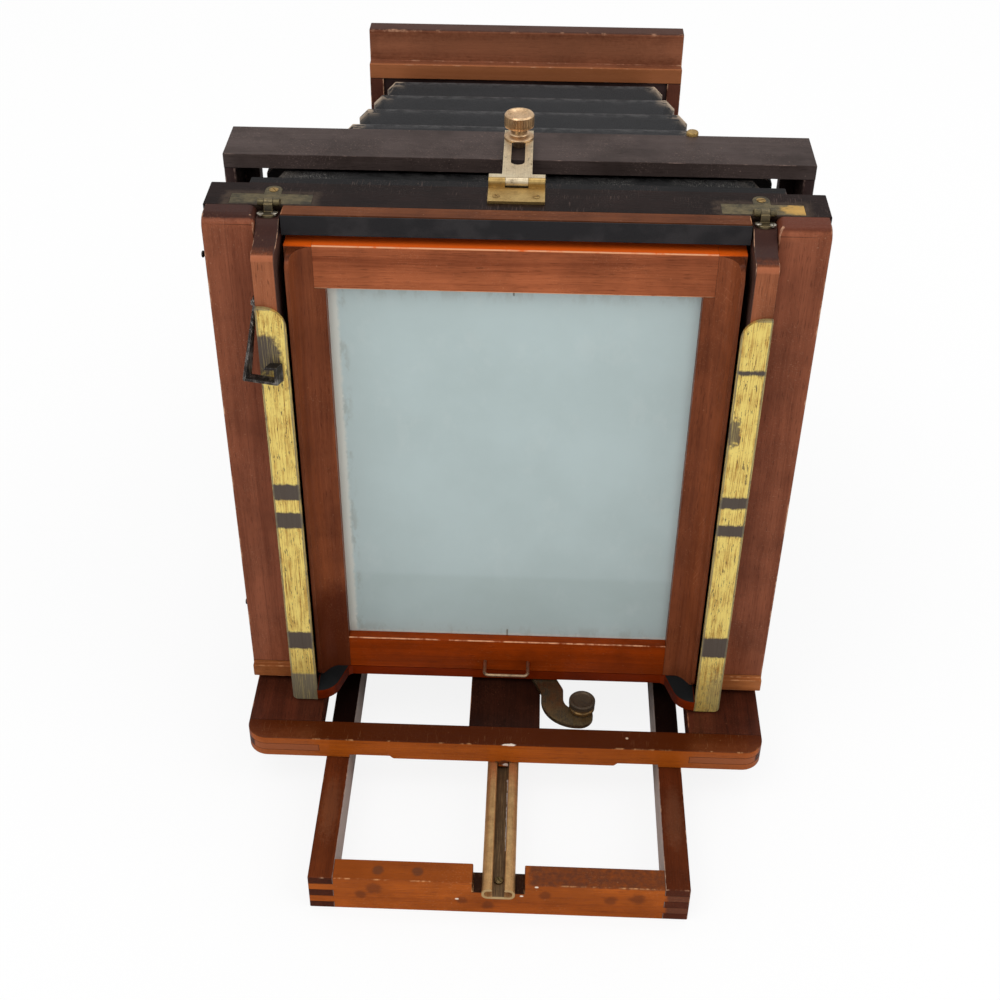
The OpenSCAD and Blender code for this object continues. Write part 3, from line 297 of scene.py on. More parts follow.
# -------------------------------------------------------------------------- finishes
class Grain(Enum):
    """Which way a board's fibres, or a metal's brush strokes, run."""

    ACROSS = (1, 2, 0)
    ALONG = (2, 0, 1)
    UPRIGHT = (0, 1, 2)

    @classmethod
    def of(cls, node: str) -> "Grain":
        """The grain along a node's longest side."""
        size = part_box(node)[1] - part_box(node)[0]
        return (cls.ACROSS, cls.ALONG, cls.UPRIGHT)[max(range(3), key=lambda axis: size[axis])]


@dataclass(frozen=True)
class Patch:
    """A region of another colour on a piece, between limits along each axis, with a ragged edge."""

    colour: Colour
    strength: float = 1.0
    soft: float = 2.0
    ragged: float = 0.0
    x: Span = (None, None)
    y: Span = (None, None)
    z: Span = (None, None)

    def mask(self, tree: Tree, at: Sock) -> Sock:
        """Where the patch lies: the product of a soft step at each limit that is given."""
        wobble = tree.wobble(at.stretched(0.3), self.ragged)
        share = None
        for index, (start, end) in enumerate((self.x, self.y, self.z)):
            along = at.axis(index) + wobble
            for limit, step in ((start, along.above), (end, along.below)):
                if limit is not None:
                    share = step(limit, self.soft) if share is None else share * step(limit, self.soft)
        return share * self.strength


@dataclass(frozen=True)
class Spot:
    """A soft round or oval stain, chip or knot about a centre, its radii given for each axis."""

    centre: Place
    radii: Place
    colour: Colour
    strength: float = 1.0
    soft: float = 0.6
    ragged: float = 0.35

    def mask(self, tree: Tree, at: Sock) -> Sock:
        """Where the spot lies: the length of (place - centre) / radii, roughened, kept below 1."""
        near = at.stretched([1 / r for r in self.radii], [-c / r for c, r in zip(self.centre, self.radii)])
        away = tree.node("ShaderNodeVectorMath", {"operation": "LENGTH"}, {0: near}, 1)
        wobble = tree.wobble(at.stretched(0.35), self.ragged)
        return (away + wobble).below(1, self.soft) * self.strength


Mark = Union[Patch, Spot]


@dataclass(frozen=True)
class Grained:
    """What wood and metal share: strands along a grain, a seed that shifts them, and marks.

    A seed is worked out from the name where none is given, so that no two pieces match.
    """

    name: str
    grain: Grain = field(default=Grain.UPRIGHT, kw_only=True)
    seed: float | None = field(default=None, kw_only=True)
    patches: tuple[Mark, ...] = field(default=(), kw_only=True)

    def variety(self) -> float:
        """The seed, or else a number from 0 to 9.6 that belongs to the name."""
        if self.seed is not None:
            return self.seed
        return (sum((i + 3) * ord(c) for i, c in enumerate(self.name)) % 97) / 10

    def strands(self, tree: Tree, at: Sock, spread: Sequence[float]) -> Sock:
        """Coordinates whose third axis runs along the grain, shifted by the seed times spread."""
        order = {place: at.axis(axis) for place, axis in enumerate(self.grain.value)}
        turned = tree.node("ShaderNodeCombineXYZ", {}, order)
        return turned.stretched(1, [self.variety() * part for part in spread])


@dataclass(frozen=True)
class Wood(Grained):
    """Varnished or ebonised mahogany with fibres, pores, soot, scuffs and worn edges."""

    light: Colour
    dark: Colour
    worn: Colour
    slot: str = "mahogany"
    edge: float = 0.6
    figure: float = 1.0
    soot: float = 0.35
    wear: float = 0.5
    scuff: float = 0.2
    rough: float = 0.34
    gloss: float = 0.05
    end: float = 0.75

    def material(self) -> bpy.types.Material:
        """Works out the wood: growth bands and fibres between two tones, then pores, age and wear."""
        tree = Tree(self.name)
        at = tree.place()
        seed = self.variety()
        fibre = self.strands(tree, at, (37.1, 91.7, 53.3))
        sway = tree.noise(fibre.stretched((0.02, 0.02, 0.004)), 2)
        band_at = fibre.stretched((0.11, 0.11, 0.0035))
        band = tree.noise(
            tree.node("ShaderNodeVectorMath", {"operation": "ADD"}, {0: band_at, 1: sway * 1.6}), 4, 0.62
        )
        thread = tree.noise(fibre.stretched((1.1, 1.1, 0.018)), 4, 0.65)
        pore = tree.noise(fibre.stretched((2.6, 2.6, 0.13)), 1).above(0.66, 0.1)
        share = ((band - 0.5) * (1.5 * self.figure) + (thread - 0.5) * (0.8 * self.figure) + 0.6).clear()
        base = tree.blend(share, self.dark, self.light)
        base = tree.blend(pore * 0.45, base, deeper(self.dark, 0.35))
        across = abs(tree.facing().axis(self.grain.value[2])).above(0.75, 0.2)
        rings = tree.noise(fibre.stretched((1.7, 0.5, 1.7)), 3, 0.7)
        end = tree.blend(rings.above(0.5, 0.3), deeper(self.dark, 0.25), self.dark)
        base = tree.blend(across * self.end, base, end)
        cloud = tree.noise(at.stretched(0.025, (seed, 3.7, 1.3)), 4, 0.6)
        base = tree.blend((cloud.above(0.55, 0.35) * self.soot).clear(), base, deeper(self.dark, 0.3))
        for patch in self.patches:
            base = tree.blend(patch.mask(tree, at), base, patch.colour)
        line = tree.scratches(at, 0.5 + seed, 30, 0.5) + tree.scratches(at, -0.35, 24, 0.4)
        fleck = tree.cells(at.stretched(0.12, (seed, 0, 5))).below(0.05, 0.04)
        light_marks = ((line * 0.5 + fleck * 0.8) * self.scuff).clear()
        base = tree.blend(light_marks, base, self.worn)
        rub = tree.noise(at.stretched(0.09, (2.2, seed, 8.1)), 4, 0.7)
        edge = tree.attribute("wear") * rub.above(0.72 - 0.4 * self.wear, 0.2) * min(1.0, 0.4 + self.wear)
        base = tree.blend(edge, base, self.worn)
        base = tree.blend(tree.attribute("seam") * 0.6, base, tone(22, 12, 9))
        rough = (self.rough + (cloud - 0.5) * 0.3 + pore * 0.12 + edge * 0.25 + light_marks * 0.2).clear()
        height = thread * 0.4 + tree.noise(at.stretched(0.05), 2) * 1.2 - pore * 0.5 - line * 0.4
        return tree.shade(
            Base_Color=base,
            Roughness=rough,
            Specular_IOR_Level=0.05,
            Coat_Weight=self.gloss * (1 - edge * 0.8),
            Coat_Roughness=0.16,
            Normal=tree.bump(height, 0.35, 0.25),
        )


@dataclass(frozen=True)
class Metal(Grained):
    """Brass, bronze or steel with brush strokes, tarnish, dark lacquer or grime and bright edges."""

    bright: Colour
    tarnish: Colour
    grime: Colour
    slot: str = "aged_brass"
    edge: float = 0.2
    dull: float = 0.5
    dirt: float = 0.4
    brushed: float = 0.5
    rough: float = 0.3
    dashes: float = 0.0
    metallic: float = 0.96

    def material(self) -> bpy.types.Material:
        """Works out the metal: strokes and blotches of tarnish over a bright tone, then grime and wear."""
        tree = Tree(self.name)
        at = tree.place()
        seed = self.variety()
        stroke = self.strands(tree, at, (31.3, 17.9, 71.1))
        hair = tree.noise(stroke.stretched((2.4, 2.4, 0.045)), 3, 0.7)
        coarse = tree.noise(stroke.stretched((0.7, 0.7, 0.05)), 4, 0.75)
        blotch = tree.noise(at.stretched((0.13, 0.13, 0.09), (seed, 1.1, 4.4)), 5, 0.68)
        worn = tree.attribute("wear")
        seam = tree.attribute("seam")
        dull = ((blotch - 0.5) * 2.4 + (hair - 0.5) * (2.6 * self.brushed) + self.dull - worn * 0.6).clear()
        base = tree.blend(dull, self.bright, self.tarnish)
        mottled = blotch * 0.5 + coarse * 0.5
        dirt = (mottled.above(0.72 - 0.36 * self.dirt, 0.12) * 0.85 * (1 - worn * 0.8) + seam * 0.6).clear()
        spot = tree.noise(at.stretched(0.9, (seed, 0, 0)), 2).above(0.7, 0.08)
        dash = tree.noise(stroke.stretched((0.8, 0.8, 0.13)), 3, 0.75).above(0.74 - 0.2 * self.dashes, 0.06)
        dirt = (dirt + spot * 0.5 + dash * (0.85 * min(1.0, 2 * self.dashes))).clear()
        line = tree.scratches(at, 0.22, 22, 0.35, 0.68) + tree.scratches(at, -0.9, 16, 0.3, 0.68)
        base = tree.blend((line * 0.55).clear(), tree.blend(dirt, base, self.grime), self.bright)
        for patch in self.patches:
            streaks = (patch.mask(tree, at) * (0.75 + hair.above(0.42, 0.2) * 0.35)).clear()
            base = tree.blend(streaks, base, patch.colour)
            if sum(patch.colour[:3]) < sum(self.tarnish[:3]):
                dirt = dirt.most(streaks)
        rough = (self.rough + dull * 0.18 + dirt * 0.22 + (hair - 0.5) * 0.15).clear()
        height = hair * 0.5 + coarse * 0.4 - line * 0.6 + dirt * 0.5
        return tree.shade(
            Base_Color=base,
            Metallic=(self.metallic - dirt * 0.55).clear(),
            Roughness=rough,
            Normal=tree.bump(height, 0.3, 0.12),
        )


@dataclass(frozen=True)
class Leather:
    """Thin black bellows leather: pebbled, creased, dusty, and rubbed tan at its corners."""

    name: str
    skin: Colour = tone(19, 19, 21)
    dust: Colour = tone(46, 45, 47)
    rubbed: Colour = tone(182, 160, 136)
    scratched: float = 0.0

    def material(self) -> bpy.types.Material:
        """Works out the leather: pebbles by cells, dust by clouds, wear and painted highlights by the
        folds' own marks.
        """
        tree = Tree(self.name)
        at = tree.place()
        pebble = tree.cells(at.stretched(0.8))
        fine = tree.noise(at.stretched(1.6), 3, 0.6)
        cloud = tree.noise(at.stretched((0.03, 0.05, 0.03)), 4, 0.65)
        crest = tree.attribute("crest")
        corner = tree.attribute("corner")
        base = tree.blend(cloud.above(0.5, 0.4) * 0.35 + fine * 0.12, self.skin, self.dust)
        rub = tree.noise(at.stretched((0.12, 0.3, 0.12)), 4, 0.7)
        # The crests: rubbed wear plus a painted highlight along each ridge.
        base = tree.blend((crest * (0.1 + rub.above(0.5, 0.2) * 0.5)).clear(), base, tone(88, 86, 86))
        base = tree.blend((corner * rub.above(0.47, 0.12)).clear(), base, self.rubbed)
        line = tree.scratches(at, 0.7, 20, 0.3, 0.66) + tree.scratches(at, -0.5, 14, 0.25, 0.66)
        base = tree.blend((line * self.scratched).clear(), base, tone(186, 180, 172))
        height = pebble * 0.8 + fine * 0.5 + tree.noise(at.stretched((0.1, 0.02, 0.1)), 3) * 0.8
        return tree.shade(
            Base_Color=base,
            Roughness=(0.42 + cloud * 0.25 + crest * 0.1).clear(),
            Specular_IOR_Level=0.3,
            Normal=tree.bump(height, 0.55, 0.4),
        )


@dataclass(frozen=True)
class Pile:
    """Velvet or felt: short fibres, rubbed in places."""

    name: str
    nap: Colour = tone(27, 27, 29)
    rubbed: Colour = tone(56, 53, 54)

    def material(self) -> bpy.types.Material:
        """Works out the pile: fine fibre noise between two tones, with a soft sheen."""
        tree = Tree(self.name)
        at = tree.place()
        fibre = tree.noise(at.stretched(2.6), 3, 0.7)
        cloud = tree.noise(at.stretched(0.06), 3)
        share = (fibre.above(0.5, 0.4) * 0.5 + cloud.above(0.52, 0.2) * 0.4).clear()
        base = tree.blend(share, self.nap, self.rubbed)
        return tree.shade(
            Base_Color=base,
            Roughness=(0.85 + fibre * 0.15).clear(),
            Sheen_Weight=0.08,
            Specular_IOR_Level=0.1,
            Normal=tree.bump(fibre, 0.6, 0.5),
        )


@dataclass(frozen=True)
class GroundGlass:
    """Finely ground glass: grey green, smeared, with a paler ground edge and pencil ticks."""

    name: str
    low: tuple[float, float]
    high: tuple[float, float]
    field_tone: Colour = tone(181, 197, 197)
    deep_tone: Colour = tone(160, 175, 173)
    rim_tone: Colour = tone(224, 220, 206)
    tick_tone: Colour = tone(92, 84, 70)

    def material(self) -> bpy.types.Material:
        """Works out the glass from the distances to its sight edges, given in millimetres."""
        tree = Tree(self.name)
        at = tree.place()
        across, up = at.axis(0), at.axis(2)
        wobble = tree.wobble(at.stretched((0.25, 1, 0.25)), 1.6, 4, 0.7)
        left = (across - self.low[0]) + wobble
        top = (self.high[1] - up) + wobble
        right = (self.high[0] - across) + wobble
        bottom = (up - self.low[1]) + wobble
        cloud = tree.noise(at.stretched(0.016), 4, 0.6)
        sink = up.below(self.low[1] + 48, 5) * 0.3
        base = tree.blend((cloud.above(0.5, 0.5) * 0.35 + sink).clear(), self.field_tone, self.deep_tone)
        rim = left.below(5.0, 2.4).most(top.below(2.4, 1.4))
        rim = rim.most(right.below(1.6, 1.2) * 0.7).most(bottom.below(1.6, 1.2) * 0.7)
        base = tree.blend((rim * 0.6).clear(), base, self.rim_tone)
        grubby = tree.noise(at.stretched((0.12, 1, 0.05)), 4, 0.7).above(0.55, 0.15)
        inside = left.above(5, 2) * left.below(9, 4)
        inside = inside.most(top.above(2, 3) * top.below(8, 9) * 0.6).most(bottom.below(7, 6) * 0.6)
        base = tree.blend((inside * grubby * 0.3).clear(), base, tone(122, 112, 92))
        smear = tree.noise(at.stretched((0.05, 1, 0.035)), 5, 0.7).above(0.62, 0.16)
        base = tree.blend(smear * 0.18, base, tone(196, 206, 204))
        middle = abs(across).below(0.5, 0.5)
        tick = middle * (top.below(5.5, 1).most(bottom.below(5, 1)))
        base = tree.blend(tick * 0.8, base, self.tick_tone)
        grit = tree.noise(at.stretched(5), 1)
        return tree.shade(
            Base_Color=base,
            Roughness=(0.3 + smear * 0.15 + rim * 0.2).clear(),
            Specular_IOR_Level=0.4,
            Normal=tree.bump(grit, 0.12, 0.05),
        )


@dataclass(frozen=True)
class ClearGlass:
    """Polished lens glass with a faint bloom of dust."""

    name: str

    def material(self) -> bpy.types.Material:
        """Works out the glass: clear, with smears that only roughen it."""
        tree = Tree(self.name)
        smear = tree.noise(tree.place().stretched(0.12), 4, 0.7).above(0.55, 0.2)
        return tree.shade(
            Base_Color=tree.blend(smear * 0.1, tone(236, 244, 240), tone(200, 206, 210)),
            Roughness=(0.03 + smear * 0.12).clear(),
            Transmission_Weight=0.92,
            IOR=1.52,
        )


# ---------------------------------------------------------------------- mesh making
MERGE_REACH = 2e-6
FLAT_TURN = math.radians(0.4)
EDGE_TURN = math.radians(35)
SHARP_TURN = math.radians(38)


def linked(name: str, data: bpy.types.ID) -> bpy.types.Object:
    """A new object of that data in the scene."""
    made = bpy.data.objects.new(name, data)
    bpy.context.scene.collection.objects.link(made)
    return made


def object_of(name: str, mesh: bpy.types.Mesh, finish: bpy.types.Material) -> bpy.types.Object:
    """Links a mesh into the scene as a piece with one finish."""
    mesh.materials.clear()
    mesh.materials.append(finish)
    return linked(name, mesh)


def carried_mark(mesh: bpy.types.Mesh, key: str, domain: str, values: np.ndarray) -> None:
    """Writes a number for every point or face, which shaders read by its name."""
    layer = mesh.attributes.new(key, "FLOAT", domain)
    layer.data.foreach_set("value", values.astype(np.float32).ravel())


def sheet_mesh(
    name: str,
    grids: Iterable[np.ndarray],
    closed: tuple[bool, bool] = (False, False),
    marks: dict[str, np.ndarray] | None = None,
) -> bpy.types.Mesh:
    """One mesh from grids of points, each shaped (rows, columns, 3).

    Each cell of a grid becomes a face of four corners: (i, j), (i+1, j), (i+1, j+1), (i, j+1).

    Args:
        name: the mesh's name.
        grids: the surfaces, in metres.
        closed: whether the rows and the columns run round to their start.
        marks: numbers for every point, which shaders read by name.

    Returns:
        The mesh, merged, its faces turned outwards, smooth except at sharp edges.
    """
    points, faces, first = [], [], 0
    for grid in grids:
        rows, columns = grid.shape[:2]
        index = first + np.arange(rows * columns).reshape(rows, columns)
        down = np.roll(index, -1, 0) if closed[0] else index[1:]
        here = index if closed[0] else index[:-1]
        if closed[1]:
            quads = np.stack([here, down, np.roll(down, -1, 1), np.roll(here, -1, 1)], -1)
        else:
            quads = np.stack([here[:, :-1], down[:, :-1], down[:, 1:], here[:, 1:]], -1)
        points.append(grid.reshape(-1, 3))
        faces.append(quads.reshape(-1, 4))
        first += rows * columns
    corners = np.concatenate(faces).astype(np.int32)
    mesh = bpy.data.meshes.new(name)
    mesh.from_pydata(np.concatenate(points), [], corners.tolist())
    for key, values in (marks or {}).items():
        carried_mark(mesh, key, "POINT", values)
    tidy = bmesh.new()
    tidy.from_mesh(mesh)
    bmesh.ops.remove_doubles(tidy, verts=tidy.verts, dist=MERGE_REACH / 2)
    bmesh.ops.recalc_face_normals(tidy, faces=tidy.faces)
    tidy.to_mesh(mesh)
    tidy.free()
    mesh.polygons.foreach_set("use_smooth", np.full(len(mesh.polygons), True))
    mesh.set_sharp_from_angle(angle=SHARP_TURN)
    return mesh


def shaped(
    name: str,
    grids: Iterable[np.ndarray],
    finish: bpy.types.Material,
    closed: tuple[bool, bool] = (False, False),
    marks: dict[str, np.ndarray] | None = None,
) -> bpy.types.Object:
    """A piece made from grids of points, with one finish."""
    return object_of(name, sheet_mesh(name, grids, closed, marks), finish)


@dataclass(frozen=True)
class Knurl:
    """A ridged stretch of a turned form: how many ridges, their depth and between which heights."""

    ridges: int
    depth: float
    start: float
    end: float

    def grooves(self, heights: np.ndarray, angles: np.ndarray) -> np.ndarray:
        """What the radius loses: depth * |sin(ridges * angle / 2)| for heights in the stretch."""
        groove = np.abs(np.sin(angles * self.ridges / 2)) * (self.depth * MM)
        inside = (heights >= self.start * MM) & (heights <= self.end * MM)
        return inside[:, None] * groove[None, :]


def turned_grid(profile: Line, around: int, knurl: Knurl | None = None) -> np.ndarray:
    """A turned form about Z: radius r and height z of the profile, carried round the axis.

    Args:
        profile: points (radius, height) in metres, from the bottom's middle to the top's.
        around: steps round the axis.
        knurl: its ridged stretch, in millimetres.
    """
    line = np.array(profile, float)
    angle = np.linspace(0, 2 * math.pi, around, endpoint=False)
    radius = np.repeat(line[:, :1], around, 1)
    if knurl:
        radius = radius - knurl.grooves(line[:, 1], angle)
    height = np.broadcast_to(line[:, 1:], radius.shape)
    return np.stack([radius * np.cos(angle), radius * np.sin(angle), height], -1)


def softened(profile: Line, radius: float) -> Line:
    """A profile whose inner corners are replaced by short arcs of about that radius."""
    line = [Vector(p) for p in profile]
    out = [line[0]]
    for before, corner, after in zip(line, line[1:], line[2:]):
        cut = min(radius, (before - corner).length * 0.45, (after - corner).length * 0.45)
        start = corner + (before - corner).normalized() * cut
        end = corner + (after - corner).normalized() * cut
        for share in np.linspace(0, 1, 4):
            out.append(start.lerp(corner, share).lerp(corner.lerp(end, share), share))
    out.append(line[-1])
    return [(p.x, p.y) for p in out]


def moved(grid: np.ndarray, place: Sequence[float], along: str = "z") -> np.ndarray:
    """A grid turned so that its Z runs along x, y or z (or -x, -y, -z), and carried to a place."""
    sign = -1 if along.startswith("-") else 1
    x, y, z = grid[..., 0], grid[..., 1], grid[..., 2]
    turned = {"x": (sign * z, y, x), "y": (x, sign * z, y), "z": (x, y, sign * z)}[along[-1]]
    return np.stack(turned, -1) + np.array(place, float)


def tube_grid(path: np.ndarray, radius: float, around: int) -> np.ndarray:
    """A round bar along a path: a ring about each point, square to the path, in a steady frame."""
    tangent = np.gradient(path, axis=0)
    tangent /= np.linalg.norm(tangent, axis=1, keepdims=True)
    side = np.cross(tangent, (0.0, 0.0, 1.0))
    side /= np.linalg.norm(side, axis=1, keepdims=True)
    up = np.cross(side, tangent)
    angle = np.linspace(0, 2 * math.pi, around, endpoint=False)[None, :, None]
    ring = np.cos(angle) * side[:, None] + np.sin(angle) * up[:, None]
    middle = path[:, None, :]
    body = middle + radius * ring
    return np.concatenate([middle[:1] + 0 * body[:1], body, middle[-1:] + 0 * body[-1:]])


def screw_grids(radius: float, rise: float, slot: float, turn: float) -> list[np.ndarray]:
    """A slotted screw head about Z: two half domes over a base disc.

    A half dome's rows run at distance d from the slot's middle and its columns along the slot;
    its height is rise * (1 - 0.45 * (distance from the axis / radius) squared).
    """
    rows = np.linspace(slot / 2, radius, 7)
    share = np.linspace(-1, 1, 9)
    d = np.repeat(rows[:, None], share.size, 1)
    e = share[None, :] * np.sqrt(np.maximum(radius**2 - d**2, 0))
    z = rise * (1 - 0.45 * (d**2 + e**2) / radius**2)
    top = np.stack([d, e, z], -1)
    low = top * (1, 1, 0)
    half = np.concatenate([low[:1], top, low[-1:]])
    half = np.concatenate([half * (1, 1, 0), half, half * (1, 1, 0)], 1)[:, 8:-8]
    c, s = math.cos(turn), math.sin(turn)
    spin = np.array([[c, -s, 0], [s, c, 0], [0, 0, 1]])
    other = half * (-1, -1, 1)
    disc = turned_grid([(0, -rise), (radius, -rise), (radius, rise * 0.15), (0, rise * 0.15)], 24)
    return [grid @ spin.T for grid in (half, other, disc)]


class Neighbours:
    """All the frame's faces, which tells where an edge lies against another node."""

    def __init__(self) -> None:
        """Gathers every node's triangles in one search tree."""
        points, faces, self.owner = [], [], []
        for name, node in frame["nodes"].items():
            first = len(points)
            points += [v.co.copy() for v in node.data.vertices]
            faces += [[first + v for v in p.vertices] for p in node.data.polygons]
            self.owner += [name] * len(node.data.polygons)
        self.tree = BVHTree.FromPolygons(points, faces)

    def touch(self, place: Vector, own: str, reach: float) -> bool:
        """Whether another node than own has a face within reach of a place."""
        return any(self.owner[hit[2]] != own for hit in self.tree.find_nearest_range(place, reach))


NEIGHBOURS = Neighbours()
SEAM_REACH = 0.9 * MM
SEAM_SHARE = 0.3


def eased(node: str, finish: bpy.types.Material, slot: str, radius: float = 0.6) -> bpy.types.Object:
    """A copy of a node's form with its edges rounded off, which stands for the node.

    The copy is merged and its flat faces made whole. Rounded faces carry a mark: wear where the
    edge is open, seam where another node lies against it.

    Args:
        node: the node's name.
        finish: its material.
        slot: the record's slot that the finish belongs to; not used.
        radius: radius of the rounded edges in millimetres.

    Returns:
        The new piece.
    """
    source = frame["nodes"][node]
    work = bmesh.new()
    work.from_mesh(source.data)
    bmesh.ops.remove_doubles(work, verts=work.verts, dist=MERGE_REACH)
    bmesh.ops.dissolve_limit(work, angle_limit=FLAT_TURN, verts=work.verts, edges=work.edges)
    weight = work.edges.layers.float.new("bevel_weight_edge")
    for edge in work.edges:
        if len(edge.link_faces) == 2 and edge.calc_face_angle(0) > EDGE_TURN:
            middle = (edge.verts[0].co + edge.verts[1].co) / 2
            edge[weight] = SEAM_SHARE if NEIGHBOURS.touch(middle, node, SEAM_REACH) else 1.0
    mesh = bpy.data.meshes.new(node)
    work.to_mesh(mesh)
    work.free()
    piece = object_of(f"{node}_piece", mesh, finish)
    mesh.materials.append(finish)
    bevel = piece.modifiers.new("rounding", "BEVEL")
    bevel.width = radius * MM
    bevel.segments = 2
    bevel.limit_method = "WEIGHT"
    bevel.material = 1
    bevel.harden_normals = False
    piece.modifiers.new("shading", "WEIGHTED_NORMAL").keep_sharp = True
    mesh.polygons.foreach_set("use_smooth", np.full(len(mesh.polygons), True))
    graph = bpy.context.evaluated_depsgraph_get()
    final = bpy.data.meshes.new_from_object(piece.evaluated_get(graph), depsgraph=graph)
    piece.modifiers.clear()
    piece.data = final
    rounded = np.zeros(len(final.polygons), np.int32)
    final.polygons.foreach_get("material_index", rounded)
    seam = np.array([
        bool(mark) and NEIGHBOURS.touch(face.center, node, SEAM_REACH)
        for mark, face in zip(rounded, final.polygons)
    ], float)
    for key, values in (("wear", rounded * (1 - seam)), ("seam", seam)):
        carried_mark(final, key, "FACE", values)
    final.polygons.foreach_set("material_index", np.zeros(len(final.polygons), np.int32))
    final.materials.clear()
    final.materials.append(finish)
    return dressed(piece, body_of(node), slot, node)


def body_of(node: str) -> str:
    """The body that a node rides on."""
    return frame["nodes"][node]["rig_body"]


def dressed(piece: bpy.types.Object, body: str, slot: str, *nodes: str) -> bpy.types.Object:
    """Makes a piece ride on a body and stand for these nodes."""
    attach(piece, body)
    if nodes:
        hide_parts(*nodes)
    log.info("%s rides on %s", piece.name, body)
    return piece


# ------------------------------------------------------------------ named finishes
RED_MAHOGANY = Wood("red_mahogany", tone(150, 88, 62), tone(98, 48, 30), tone(206, 160, 128))
FRAME_MAHOGANY = Wood("frame_mahogany", tone(152, 80, 46), tone(94, 40, 19), tone(222, 160, 120))
ORANGE_MAHOGANY = Wood(
    "orange_mahogany", tone(186, 94, 26), tone(126, 55, 13), tone(226, 166, 112), "orange_wood",
)
DARK_MAHOGANY = Wood("dark_mahogany", tone(92, 44, 28), tone(44, 19, 12), tone(170, 110, 76), soot=0.5)
EBONISED = Wood(
    "ebonised", tone(72, 54, 52), tone(38, 26, 24), tone(146, 122, 112), "ebonised_wood", figure=0.7,
    soot=0.5,
)
OLD_BRASS = Metal("old_brass", tone(206, 170, 104), tone(142, 112, 66), tone(58, 46, 32))
PURPLE_BROWN = tone(52, 33, 30)
SIDES = ("left", "right")
# The rear faces of the arms' strips and of the screen's top rail, in millimetres along Y.
SCREEN_REAR = -163


@dataclass
class Assembly:
    """A sub-assembly: forms kept from the frame, and pieces of its own."""

    def dress(self, node: str, base: Wood | Metal, **changes: object) -> None:
        """Dresses a node in a finish of its own, derived from a base finish.

        The grain runs along the node's longest side, unless the changes say otherwise.
        """
        finish = replace(base, **{"name": node, "grain": Grain.of(node), **changes})
        eased(node, finish.material(), finish.slot, finish.edge)

    def turned(self, name: str, grids: Sequence[np.ndarray], finish: Metal, body: str, *nodes: str) -> None:
        """Makes a metal piece from grids closed round their columns."""
        made = shaped(name, grids, replace(finish, name=name).material(), (False, True))
        dressed(made, body, finish.slot, *nodes)

    def screws(
        self,
        name: str,
        places: Sequence[Sequence[float]],
        body: str,
        radius: float,
        rise: float = 0.5,
        along: str = "z",
        finish: Metal = OLD_BRASS,
        nodes: Sequence[str] = (),
    ) -> None:
        """Makes a group of slotted screw heads, each turned by an angle of its own.

        Args:
            name: the piece's name.
            places: the heads' middles, in metres.
            body: the body that they ride on.
            radius: radius of a head in millimetres.
            rise: height of a head in millimetres.
            along: the axis that the heads face.
            finish: their metal.
            nodes: the nodes that the piece stands for.
        """
        grids = []
        for number, place in enumerate(places):
            heads = screw_grids(radius * MM, rise * MM, 0.24 * radius * MM, 0.6 + 1.3 * number)
            grids += [moved(grid, place, along) for grid in heads]
        made = shaped(name, grids, replace(finish, name=name).material())
        dressed(made, body, finish.slot, *nodes)


def low(node: str) -> Vector:
    """A node's lowest corner."""
    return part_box(node)[0]


def high(node: str) -> Vector:
    """A node's highest corner."""
    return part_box(node)[1]


def mm(value: float) -> float:
    """A length of the frame in millimetres."""
    return value / MM


def rear_top(node: str) -> tuple[float, float]:
    """Where a node's rear face and its top lie, in millimetres."""
    return mm(low(node).y), mm(high(node).z)


def metres(line: Line) -> Line:
    """A profile given in millimetres, in metres."""
    return [(radius * MM, height * MM) for radius, height in line]


def arm_middle() -> float:
    """How far the arms' middles lie from the camera's, in metres: half an arm in from the outside."""
    return high("arm_right").x - 6 * MM


def middle_of(node: str, index: int) -> float:
    """The middle of a node's box along one axis, in metres."""
    return (low(node)[index] + high(node)[index]) / 2


